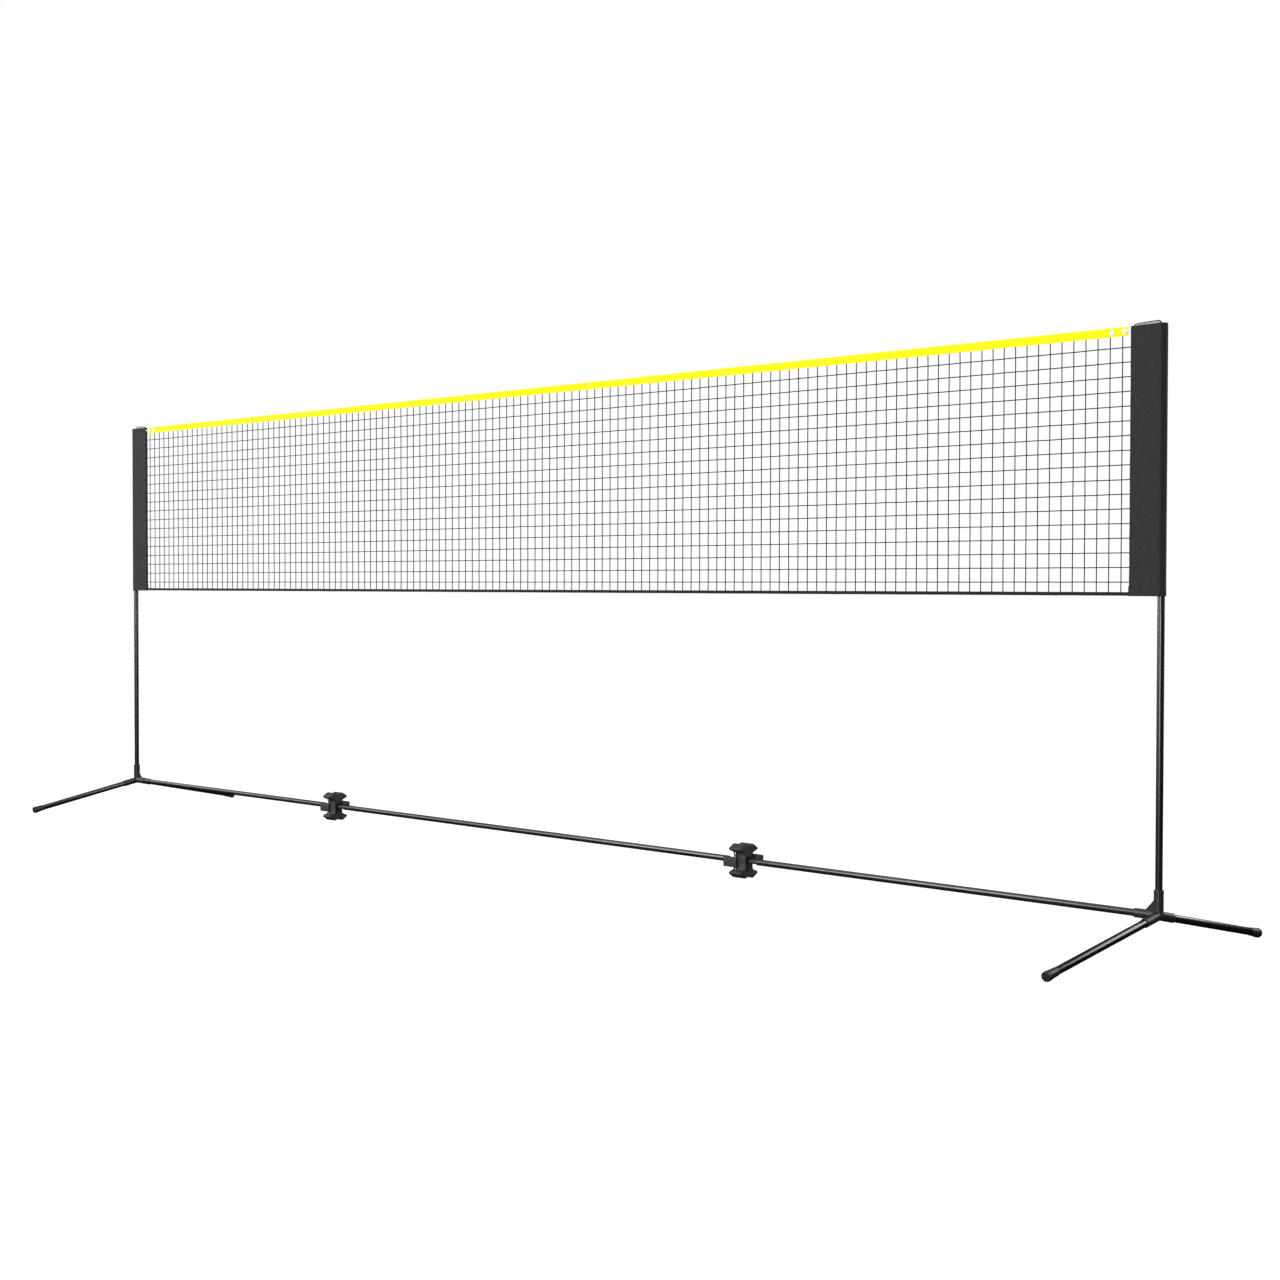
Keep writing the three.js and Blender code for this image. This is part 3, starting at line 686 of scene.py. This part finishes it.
def add_plug(side, name, pin_node, body):
    """A moulded end plug: the leaf with its eye, the step to the neck, the neck and the tube insert."""
    node = f"{side}_{name}"
    low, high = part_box(node)
    pin = centre(pin_node)
    way = 1 if pin.y > 0 else -1
    leaf_half = 4 * MM
    clip_middle = centre(f"{side}_clip_front").x
    clip_face = size(f"{side}_clip_front").x / 2
    tube_end = clip_middle + way * (clip_face + 37.5 * MM)
    leaf = (way * -9 * MM, way * 21 * MM)
    inner, outer = pin.y - way * leaf_half, pin.y + way * leaf_half
    eye = [(pin.x - way * leaf_half * sin(a), pin.y + way * leaf_half * cos(a))
           for a in np.linspace(0, pi, 9)[1:-1]]
    step_x = tube_end - way * 8 * MM
    outline = [(tube_end, outer), (pin.x, outer), *eye, (pin.x, inner), (step_x, inner),
               (step_x, way * 0.3 * MM), (tube_end, way * 0.3 * MM)]
    plug = to_object(f"{node}_moulding", prism(
        filleted(outline, 1.2 * MM), min(leaf), max(leaf), moved((0, 0, BAR_Z))))
    soften(plug, 1.3 * MM)
    near, far = (low.x, high.x)[::way]
    if name == "hinge_plug":
        near = clip_middle + way * (clip_face + MM)
    span = sorted((near, tube_end - way * 0.5 * MM))
    insert = sorted((tube_end - way * 1.5 * MM, far))
    along = moved((0, 0, BAR_Z)) @ TO_X
    neck_r = 7 * MM
    neck = [(0, span[0]), (neck_r, span[0]), (neck_r, span[1]), (0, span[1])]
    neck = filleted(neck, 0.6 * MM, closed=False)
    carve(plug, [lathe(neck, along), bore(8 * MM, *insert, along)], "UNION")
    carve(plug, [bore(2.5 * MM, -60 * MM, 60 * MM, moved(pin))])
    finish(plug, CLIP_PLASTIC, body, "clip_plastic", node)


# ------ cloth tools
def skin_faces(rings, count, base=0):
    """The quads between rings of count points each, and the faces that close the two ends."""
    starts = [base + count * i for i in range(rings)]
    quads = [(a + j, a + (j + 1) % count, b + (j + 1) % count, b + j)
             for a, b in zip(starts, starts[1:]) for j in range(count)]
    around = range(count)
    return quads, [tuple(starts[0] + j for j in reversed(around)), tuple(starts[-1] + j for j in around)]


def lofted(name, rings, uvs):
    """A skin through closed rings of points. Each ring has one more (u, v) than points, to close it."""
    count = len(rings[0])
    corners = [uvs[a][b] for i in range(len(rings) - 1) for j in range(count)
               for a, b in ((i, j), (i, j + 1), (i + 1, j + 1), (i + 1, j))]
    return skinned(name, [p for ring in rings for p in ring], skin_faces(len(rings), count)[0], corners)


def cap_ends(piece, count):
    """Closes the first and last ring of a lofted skin."""
    bm = bmesh.new()
    bm.from_mesh(piece.data)
    bm.verts.ensure_lookup_table()
    for first in (0, len(bm.verts) - count):
        bm.faces.new([bm.verts[first + i] for i in range(count)])
    bmesh.ops.recalc_face_normals(bm, faces=bm.faces)
    bm.to_mesh(piece.data)
    bm.free()


def lengths_along(points):
    """Distance round a loop from its first point to each one, and back to the first."""
    loop = np.array(points + points[:1], float)
    steps = np.linalg.norm(np.diff(loop, axis=0), axis=1)
    return [0.0, *np.cumsum(steps)]


def ripple(*place):
    """A smooth, fixed, random-looking wave from -1 to 1."""
    total = 0.0
    for i, (speed, phase) in enumerate(((31, 0.4), (53, 2.1), (97, 4.0))):
        total += sin(speed * place[0] + phase + 1.7 * sin(11 * sum(place[1:]) + i)) / 3
    return total


def stitches(rows, length=3.2 * MM, pitch=4.4 * MM, width=0.8 * MM, height=0.35 * MM):
    """Small lozenges along rows of thread. A row is (start, end, outward direction)."""
    verts, faces = [], []
    for start, end, outward in rows:
        start, end, outward = Vector(start), Vector(end), Vector(outward)
        along = (end - start).normalized()
        aside = along.cross(outward)
        for i in range(int((end - start).length / pitch)):
            middle = start + along * (i + 0.5) * pitch
            base = len(verts)
            verts += [middle - along * length / 2, middle + along * length / 2]
            for step in range(6):
                angle = step * pi / 3
                spread = aside * width / 2 * cos(angle)
                verts.append(middle + spread + outward * height * sin(angle))
            for step in range(6):
                here, there = base + 2 + step, base + 2 + (step + 1) % 6
                faces += [(base, there, here), (base + 1, here, there)]
    return verts, faces


def add_shells(piece, verts, faces, material_index):
    """Adds loose shells to a piece's own mesh."""
    bm = bmesh.new()
    bm.from_mesh(piece.data)
    made = [bm.verts.new(v) for v in verts]
    for face in faces:
        bm.faces.new([made[i] for i in face]).material_index = material_index
    bm.to_mesh(piece.data)
    bm.free()


# ------ sleeves
SLEEVE_ROWS = 170
SLEEVE_HEM_HIGH = 25 * MM  # the folded band round the bottom
SLEEVE_EDGE_HALF = 4 * MM  # half its thickness at the inboard edge
SEWN_FROM = 86 * MM  # where the two plies are sewn together, from the mast
PLY_TANGENT = 95  # degrees round the mast to where a ply leaves it
SHADE_BAND = (-8.5 * MM, -1 * MM)  # the dark tape sewn down each ply over the mast, painted shade where the ply meets the round of the mast, as distances inboard


def sleeve_section(radius, inboard_edge):
    """Outer and inner outline of the doubled cloth, as distance inboard of the mast and Y."""
    front = [(-u, -y) for u, y in arc((0, 0), radius, 0, PLY_TANGENT, 24)]
    start, end = front[-1], (inboard_edge - MM, -SLEEVE_EDGE_HALF)
    front += [(start[0] + (end[0] - start[0]) * t, start[1] + (end[1] - start[1]) * t)
              for t in np.linspace(0, 1, 36)[1:]]
    front += [(inboard_edge - 0.3 * MM, 0.3 * MM - SLEEVE_EDGE_HALF), (inboard_edge, MM - SLEEVE_EDGE_HALF),
              (inboard_edge, -1.5 * MM), (inboard_edge, 0)]
    outer = front + [(u, -y) for u, y in reversed(front[1:-1])]
    inner = []
    for i, (u, y) in enumerate(outer):
        before, after = outer[i - 1], outer[(i + 1) % len(outer)]
        tangent = Vector((after[0] - before[0], after[1] - before[1])).normalized()
        inward = Vector((-tangent.y, tangent.x))
        if u < SEWN_FROM:
            inner.append((u + inward.x * CLOTH, y + inward.y * CLOTH))
        else:
            inner.append((SEWN_FROM + 0.05 * (u - SEWN_FROM), y * 0.8))
    return outer, inner


def sleeve_ring(points, side, z, swell):
    """One level of the sleeve, with the cloth's soft waves."""
    inboard = -SIDES[side]
    ring = []
    for u, y in points:
        on_panel = min(max((u - 12 * MM) / (30 * MM), 0), 1)
        wave = 0.35 * MM * ripple(z * 0.6 + SIDES[side], u * 9) * on_panel
        edge = 0.3 * MM * ripple(z * 1.3, 3 * SIDES[side]) * on_panel
        grown = Vector((u, y)).normalized() * swell
        ring.append((SIDES[side] * POLE_X + inboard * (u + edge + grown.x), y + wave + grown.y, z))
    return ring


def sleeve_skin(side, low, high, outer, inner, hem):
    """The cloth's inside from the top down, then its outside from the bottom up."""
    around = lengths_along(outer)
    levels = np.linspace(low, high, SLEEVE_ROWS)
    rings, places = [], []

    def add_ring(points, z, swell=0.0, v=None):
        rings.append(sleeve_ring(points, side, z, swell))
        places.append([(u, z if v is None else v) for u in around])

    top = high - CLOTH * 1.4
    for z in levels[levels < top][::-1]:
        add_ring(inner, z)
    for z in levels:
        in_hem = z - low < SLEEVE_HEM_HIGH
        rounding = -0.6 * MM * max(0, 1 - min(z - low, high - z) / MM)
        add_ring(hem if in_hem else outer, z, rounding + (0.3 * MM if in_hem else 0), z + 2)
    return lofted(f"{side}_sleeve_cloth", rings, places)


def add_sleeve(side):
    node = f"{side}_sleeve"
    low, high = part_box(node)
    radius = (high.y - low.y) / 2
    inboard_edge = high.x - low.x - radius
    outer, inner = sleeve_section(radius, inboard_edge)
    hem, _ = sleeve_section(radius, inboard_edge + 2 * MM)
    piece = sleeve_skin(side, low.z, high.z, outer, inner, hem)
    cap_ends(piece, len(outer))  # the cloth over the mast's top, inside and outside
    dress(piece, SLEEVE_CLOTH, "sleeve_fabric", node)
    piece.data.materials.append(SLEEVE_SHADE_BAND)
    for face in piece.data.polygons:  # painted shade: the faces along the inboard edge take the darker cloth, as that edge lies in shade
        face.material_index = int(POLE_X - abs(face.center.x) > inboard_edge - 0.6 * MM)
    smooth(piece, 50)
    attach(piece, f"net_{side}_end")

    # painted shade: a dark band down each ply where it meets the round of the mast
    parts = [sleeve_shade_band(side, way, outer, low.z, high.z) for way in (-1, 1)]
    parts.append(sleeve_stitching(side, outer, low.z, high.z))


def ply_at(outer, u):
    """Y of the front ply's outside at a distance inboard of the mast."""
    front = [p for p in outer if p[1] <= 0]
    return float(np.interp(u, [p[0] for p in front], [p[1] for p in front]))


def sleeve_shade_band(side, way, outer, low, high):
    """A dark tape down the ply over the mast, its edges turned down onto the cloth: painted shade where the
    ply meets the round of the mast.
    """
    across = np.linspace(*SHADE_BAND, 9)
    rise = [0.0, 0.45 * MM, *[0.6 * MM] * 5, 0.45 * MM, 0.0]
    face = [(u, ply_at(outer, u) - up) for u, up in zip(across, rise)]
    back = [(u, ply_at(outer, u) + 0.3 * MM) for u in reversed(across)]
    section = [*face, *back]
    around = lengths_along(section)
    rings, places = [], []
    for z in np.linspace(low + 1.5 * MM, high - 1.5 * MM, 90):
        drift_u = 0.25 * MM * ripple(z * 0.9, way)
        rings.append([(SIDES[side] * (POLE_X - u - drift_u), -way * y, z) for u, y in section])
        places.append([(u, z) for u in around])
    name = "front" if way < 0 else "back"
    tape = lofted(f"{side}_sleeve_{name}_shade_band", rings, places)
    cap_ends(tape, len(section))
    return finish(tape, SLEEVE_SHADE_BAND, f"net_{side}_end", "sleeve_fabric")


def sleeve_stitching(side, outer, low, high):
    """Rows of thread along the seam, the hem, the top and both edges of the dark painted-shade bands."""
    rows = []
    for way in (-1, 1):

        def spot(u, z, lift):
            return (SIDES[side] * (POLE_X - u), -way * (ply_at(outer, u) - lift), z)

        for u, lift in ((2, 0.1), (-2.4, 0.65), (88, 0.15), (92, 0.15)):  # in millimetres
            ends = [spot(u * MM, z, lift * MM) for z in (low + 3 * MM, high - 3 * MM)]
            rows.append((*ends, (0, way, 0)))
        for z in (low + SLEEVE_HEM_HIGH - 3 * MM, low + SLEEVE_HEM_HIGH - 6 * MM, high - 6 * MM):
            rows.append((spot(10 * MM, z, 0.35 * MM), spot(93 * MM, z, 0.35 * MM), (0, way, 0)))
    thread = skinned(f"{side}_sleeve_stitching", *stitches(rows))
    return finish(thread, DARK_THREAD, f"net_{side}_end", "sleeve_fabric")


# How high the strap stands above the sleeve, by distance inboard of the mast, in millimetres.
STRAP_ARCH = {5: 0.4, 7: 2.4, 10: 5.6, 14: 6.6, 40: 5.6, 76: 3.8, 83: 1.8, 87: 0.4}


def add_strap(side):
    """The light webbing that arches over the sleeve's top, with a dark piping on its upper edge, whose
    darkness is painted shade along that edge.
    """
    node = f"{side}_sleeve_strap"
    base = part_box(f"{side}_sleeve")[1].z
    inboard = np.linspace(min(STRAP_ARCH), max(STRAP_ARCH), 83)
    rise = np.interp(inboard, list(STRAP_ARCH), list(STRAP_ARCH.values()))
    rise = np.convolve(np.pad(rise, 2, mode="edge"), np.ones(5) / 5, mode="valid")
    half, piping_r = 1.5 * MM, 1.8 * MM
    rings, places, edge = [], [], []
    for u, up in zip(inboard * MM, rise * MM):
        x = SIDES[side] * (POLE_X - u)
        top = base + max(up, 1.2 * MM)
        under = base + 0.2 * MM
        section = [(-half, under), (half, under), (half, top), (0, top + 0.2 * MM), (-half, top)]
        rings.append([(x, y, z) for y, z in section])
        places.append([(v, u) for v in lengths_along(section)])
        edge.append((x, 0, top + 0.9 * MM))
    strap = lofted(f"{node}_webbing", rings, places)
    cap_ends(strap, len(rings[0]))
    dress(strap, GREY_WEBBING, "grey_webbing", node)
    smooth(strap, 40)
    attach(strap, f"net_{side}_end")
    piping = swept(f"{node}_piping", [edge], piping_r, 10)
    # painted shade: the dark piping stands for the shaded top edge of the webbing
    finish(piping, SLEEVE_SHADE_BAND, f"net_{side}_end", "sleeve_fabric")


# ------ cords and twine
def swept(name, cords, radius, sides):
    """Round cords, each through its own list of points."""
    verts, faces, corners = [], [], []
    for points in cords:
        line = np.array(points, float)
        along = np.gradient(line, axis=0)
        along /= np.linalg.norm(along, axis=1)[:, None]
        upright = np.array([0, 0, 1.0]) if abs(along[0][2]) < 0.9 else np.array([0, 1.0, 0])
        lengths = np.concatenate([[0], np.cumsum(np.linalg.norm(np.diff(line, axis=0), axis=1))])
        base = len(verts)
        for point, direction in zip(line, along):
            aside = np.cross(direction, upright)
            aside /= np.linalg.norm(aside)
            upright = np.cross(aside, direction)
            for step in range(sides):
                angle = 2 * pi * step / sides
                verts.append(point + radius * (cos(angle) * aside + sin(angle) * upright))
        quads, ends = skin_faces(len(line), sides, base)
        faces += quads + ends
        for near, far in zip(lengths, lengths[1:]):
            for j in range(sides):
                turn, next_turn = j / sides, (j + 1) / sides
                corners += [(turn, near), (next_turn, near), (next_turn, far), (turn, far)]
        corners += [(0, 0)] * (2 * sides)
    return skinned(name, verts, faces, corners)


def net_heights():
    """Levels of the horizontal strings, from the bottom up."""
    low, high = (corner.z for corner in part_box("net_middle"))
    first = 25.6 * MM  # of the lowest string above the bottom tape
    return [low + first + MESH_PITCH * k for k in range(int((high - low - first) / MESH_PITCH) + 1)]


def net_columns(start, end):
    """Places of the vertical strings between start and end, half a mesh off the middle of the net."""
    reach = 65
    places = [(k + 0.5) * MESH_PITCH for k in range(-reach, reach)]
    return [x for x in places if start < x < end]


def drift(x, z):
    """How far a knot strays in Y and Z from a perfect grid."""
    return 0.5 * MM * ripple(x * 1.1, z * 3), 0.35 * MM * ripple(z * 2.3 + x * 0.7, x)


def level_steps(start, end, middle):
    """Steps along a string, close together where the net bends round a fold."""
    steps = [*np.arange(start, end, MESH_PITCH / 4), end]
    if middle is None:
        return steps
    fold = np.linspace(middle - FOLD_ZONE, middle + FOLD_ZONE, 17)
    outside = [x for x in steps if abs(x - middle) > FOLD_ZONE + MM]
    return sorted([*outside, *fold])


def knot(x, y, z, turn):
    """A small knotted lump, longer one way than the other."""
    verts = []
    rings, sides = 5, 8
    wide, deep, tall = 2.3 * MM, 1.75 * MM, 1.9 * MM
    for i in range(rings):
        lift = cos(pi * (i + 0.5) / rings)
        reach = sin(pi * (i + 0.5) / rings)
        for j in range(sides):
            angle = 2 * pi * j / sides + 0.3 * i
            across, up = wide * reach * cos(angle), tall * reach * sin(angle)
            verts.append((
                x + across * cos(turn) - up * sin(turn),
                y + deep * lift,
                z + across * sin(turn) + up * cos(turn),
            ))
    quads, ends = skin_faces(rings, sides)
    return verts, quads + ends


def add_netting(node, start, end, fold):
    heights = net_heights()
    columns = net_columns(start, end)
    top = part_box("top_tape_middle")[0].z + 0.6 * MM
    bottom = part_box("bottom_tape_middle")[1].z - 0.6 * MM
    levels = sorted([*heights, *[(a + b) / 2 for a, b in zip(heights, heights[1:])]])
    steps = level_steps(start, end, fold)
    cords = []
    for x in columns:
        line = [(x, drift(x, z)[0] + 0.3 * MM, z) for z in levels]
        cords.append([(x, 0, bottom), *line, (x, 0, top)])
    for z in heights:
        cords.append([(x, drift(x, z)[0] - 0.3 * MM, z + drift(x, z)[1]) for x in steps])
    piece = swept(f"{node}_netting", cords, TWINE_R, 6)
    verts, faces = [], []
    for x in columns:
        for z in heights:
            stray = drift(x, z)
            lump, sides = knot(x, stray[0], z + stray[1], 0.8 + 0.3 * ripple(x, z))
            faces += [[len(verts) + i for i in face] for face in sides]
            verts += lump
    add_shells(piece, verts, faces, 0)
    dress(piece, TWINE, "net_twine", node)
    piece.data.shade_smooth()
    return piece


# ------ tapes
def folded_binding(low, high, half, leaf, fold_up):
    """Section of a band folded over the net's edge, as Y and Z: a thin closed loop, open at one side."""
    def side_of(inset):
        top = high - inset
        reach = half - inset
        straight = [(reach * f, low + (top - low) * t) for f, t in
                    ((0.72, 0), (0.74, 0.12), (0.86, 0.35), (1, 0.6), (1, 0.86))]
        crown = [(reach * cos(a), top - (top - low) * 0.14 * (1 - sin(a)))
                 for a in np.linspace(0, pi / 2, 6)[1:]]
        right = straight + crown
        return right + [(-y, z) for y, z in reversed(right[:-1])]

    section = side_of(0) + side_of(leaf)[::-1]
    if fold_up:
        return section
    return [(y, low + high - z) for y, z in section]


def add_tape(node, start, end, fold, fold_up, material, thread, slot, rows, holes=()):
    low, high = (corner.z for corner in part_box(node))
    half = size(node).y / 2
    section = folded_binding(low, high, half, 0.45 * MM, fold_up)
    around = lengths_along(section)
    rings, places = [], []
    for x in level_steps(start, end, fold):
        sway, rise = 0.25 * MM * ripple(x * 0.8, high), 0.2 * MM * ripple(x * 0.5, 7)
        rings.append([(x, y + sway, z + rise) for y, z in section])
        places.append([(u, x) for u in around])
    piece = lofted(f"{node}_shade_band", rings, places)
    cap_ends(piece, len(section))
    dress(piece, material, slot, node)
    for x in holes:
        at_hole = moved((x, 0, (low + high) / 2)) @ TO_Y
        carve(piece, [bore(5.2 * MM, -8 * MM, 8 * MM, at_hole, FINE_ROUND)])
    sewn = []
    for way in (-1, 1):
        for share, reach in rows:
            z, y = low + (high - low) * share, way * half * reach
            sewn.append(((start + MM, y, z), (end - MM, y, z), (0, way, 0)))
    add_shells(piece, *stitches(sewn, width=0.6 * MM, height=0.22 * MM), 1)
    piece.data.materials.append(thread)
    smooth(piece, 55)
    return piece


def add_net_part(part, start, end, fold):
    """The netting, top tape and bottom tape of the middle or of one end."""
    way = SIDES.get(part, 0)  # the middle has none, and doesn't fold
    tape_ends, eyelets = [start, end], []
    if way:
        outboard = (way + 1) // 2
        tape_ends[outboard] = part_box(f"top_tape_{part}")[outboard].x
        eyelets = [centre(f"{part}_{name}_grommet").x for name in ("outer", "inner")]
    made = [
        add_netting(f"net_{part}", start, end, fold),
        add_tape(f"top_tape_{part}", *tape_ends, fold, True, YELLOW_TAPE, YELLOW_THREAD,
                 "yellow_tape", [(0.12, 0.78), (0.86, 1.0)], eyelets),
        add_tape(f"bottom_tape_{part}", start, end, fold, False, BLACK_TAPE, DARK_THREAD,
                 "black_tape", [(0.72, 0.84)]),
    ]
    for piece in made:
        if way:
            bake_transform(piece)
        else:
            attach(piece, "net_center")


def add_eyelet(side, name):
    """A rolled eyelet: two flanges and the barrel that joins them through the tape."""
    node = f"{side}_{name}_grommet"
    middle = centre(node)
    flange, half = size(node).x / 2, size(node).y / 2
    hole, barrel = 4.5 * MM, 5.1 * MM
    lip = half - 0.7 * MM
    rolled = [(hole, 0.4 * MM - half), (hole + 1.2 * MM, -half), (flange - 0.6 * MM, 0.2 * MM - half),
              (flange, -lip), (barrel, -lip)]
    profile = filleted([*rolled, *[(r, -y) for r, y in reversed(rolled)]], 0.5 * MM)
    ring = to_object(f"{node}_ring", lathe(profile, moved(middle) @ TO_Y, True))
    finish(ring, EYELET_ENAMEL, f"net_{side}_end", "eyelet_metal", node)
    ring.data.materials.append(EYELET_RIM)
    # the outer rim of each flange takes the grey rim material
    for face in ring.data.polygons:
        worn = hypot(face.center.x - middle.x, face.center.z - middle.z) > flange - 1.1 * MM
        face.material_index = int(worn)


# The tie cord's route from its knot behind the outer eyelet to the sleeve, as millimetres outboard and Y.
TIE_ROUTE = [(0, 7), (0, 3), *arc((5, -0.5), 5, 180, 270, 5), (9.5, -5.4), (14, -4.4), (19.6, -2.6)]
TIE_STRAND_R = 1.25 * MM


def smooth_line(points, steps):
    """Points on a smooth curve through the given ones."""
    line = np.array([points[0], *points, points[-1]], float)
    made = []
    for i in range(1, len(line) - 2):
        a, b, c, d = line[i - 1:i + 3]
        for t in np.arange(steps) / steps:
            made.append(0.5 * (2 * b + (c - a) * t + (2 * a - 5 * b + 4 * c - d) * t**2
                               + (3 * b - a - 3 * c + d) * t**3))
    return [*made, line[-1]]


def add_tie_cord(side):
    node = f"{side}_tape_cord"
    eyelet = centre(f"{side}_outer_grommet")
    way = SIDES[side]
    cords = []
    for lift in (-1, 1):
        line = smooth_line([(way * u * MM, y * MM, lift * TIE_STRAND_R) for u, y in TIE_ROUTE], 4)
        cords.append([tuple(Vector(p) + eyelet) for p in line])
    turns = np.linspace(0, 2 * pi, 73)
    loop = [(
        eyelet.x + 1.15 * MM * (sin(t) + 2 * sin(2 * t)),
        eyelet.y + 8 * MM - 1.3 * MM * sin(3 * t),
        eyelet.z + 1.15 * MM * (cos(t) - 2 * cos(2 * t)),
    ) for t in turns]
    cords.append(loop)
    cord = swept(f"{node}_strands", cords, TIE_STRAND_R, 16)
    finish(cord, WHITE_CORD, f"net_{side}_end", "white_cord", node)


# ------ making everything
add_camera()
add_softbox("key_box", (-4.5, -7.5, 5.0), (0.6, 0, 0.9), 4.5, 4.5, 11)
add_softbox("camera_box", (4.3, -6.4, 1.5), (2.2, 0, 0.8), 0.8, 3.2, 36)
add_softbox("bar_box", (-7.2, -4.2, 3.1), (-6.0, -0.1, 0.8), 12.0, 2.6, 3.1)
add_softbox("left_box", (-9.0, -0.8, 3.5), (-2.4, 0, 0.2), 6.5, 3.0, 1.2)
add_softbox("rear_box", (4.5, 5.2, 4.0), (2.6, 0, 0.1), 6.1, 3.4, 5.5)
add_softbox("overhead_box", (-1.0, 0.5, 4.8), (-1.0, 0.5, 0), 8.0, 3.0, 1.3)
add_world(0.26)
add_floor()

STEEL_PAINT = powder_coat("black_powder_coat", 0.007, 0.25)
FOOT_PAINT = powder_coat("black_gloss_coat", 0.005, 0.17)
HUB_PLASTIC = moulded("hub_nylon", 0.016, 0.38, 0.05 * MM)
CLIP_PLASTIC = moulded("clip_nylon", 0.019, 0.6, 0.07 * MM)
CAP_RUBBER = moulded("cap_rubber", 0.012, 0.42, 0.03 * MM)
BRIGHT_STEEL = bright_steel("zinc_plate")
EYELET_ENAMEL = enamel("eyelet_enamel")
SLEEVE_CLOTH = woven("sleeve_oxford_cloth", grey(0.0135), grey(0.023), 1.2 * MM, 0.12 * MM, 0.08)
# Painted shade: a darker cloth for the bands over the masts, the sleeves' inboard edges and the straps'
# piping.
SLEEVE_SHADE_BAND = woven("sleeve_shade_band", grey(0.01), grey(0.018), 0.8 * MM, 0.1 * MM, 0.05)
DARK_THREAD = twisted("dark_thread", grey(0.012), grey(0.03), 1.2 * MM, 0.05 * MM)
GREY_WEBBING = woven("grey_webbing", grey(0.26), grey(0.42), MM, 0.15 * MM, 0.3)
EYELET_RIM = moulded("eyelet_grey_rim", 0.16, 0.4, 0.01 * MM)
YELLOW_TAPE = woven("yellow_tape_cloth", (0.95, 0.83, 0, 1), (1, 0.95, 0, 1), MM, 0.12 * MM, 0.05)
YELLOW_THREAD = twisted("yellow_thread", (0.85, 0.74, 0, 1), (1.0, 0.9, 0.02, 1), 1.2 * MM, 0.05 * MM)
BLACK_TAPE = woven("black_tape_cloth", grey(0.006), grey(0.014), 0.9 * MM, 0.12 * MM, 0.05)
TWINE = twisted("net_twine", (0.004, 0.004, 0.005, 1), (0.012, 0.012, 0.014, 1), 3.2 * MM, 0.2 * MM)
WHITE_CORD = twisted("white_braid", grey(0.72), grey(0.9), 2.4 * MM, 0.2 * MM)

add_straight_tube("center_bar", TO_X, TUBE_WALL, "center_frame")
add_net_part("middle", -SEAM_X, SEAM_X, None)
for side, way in SIDES.items():
    add_clip(side)
    for screw in ("upper", "lower"):
        add_screw(side, screw)
    add_pin(f"{side}_hinge_pin")
    add_pin(f"{side}_plug_rivet")
    add_plug(side, "fixed_plug", f"{side}_plug_rivet", "center_frame")
    add_plug(side, "hinge_plug", f"{side}_hinge_pin", f"{side}_wing")
    add_straight_tube(f"{side}_outer_bar", TO_X, TUBE_WALL, f"{side}_wing")
    add_hub(side)
    for foot in ("front", "back"):
        add_foot(side, foot)
    add_masts(side)
    add_spring(side)
    add_sleeve(side)
    add_strap(side)
    reach = NET_END + 1.5 * MM
    start, end = sorted((way * SEAM_X, way * reach))
    add_net_part(side, start, end, way * FOLD_X)
    for eyelet in ("outer", "inner"):
        add_eyelet(side, eyelet)
    add_tie_cord(side)

scene.view_settings.view_transform = "Standard"
scene.view_settings.look = "None"
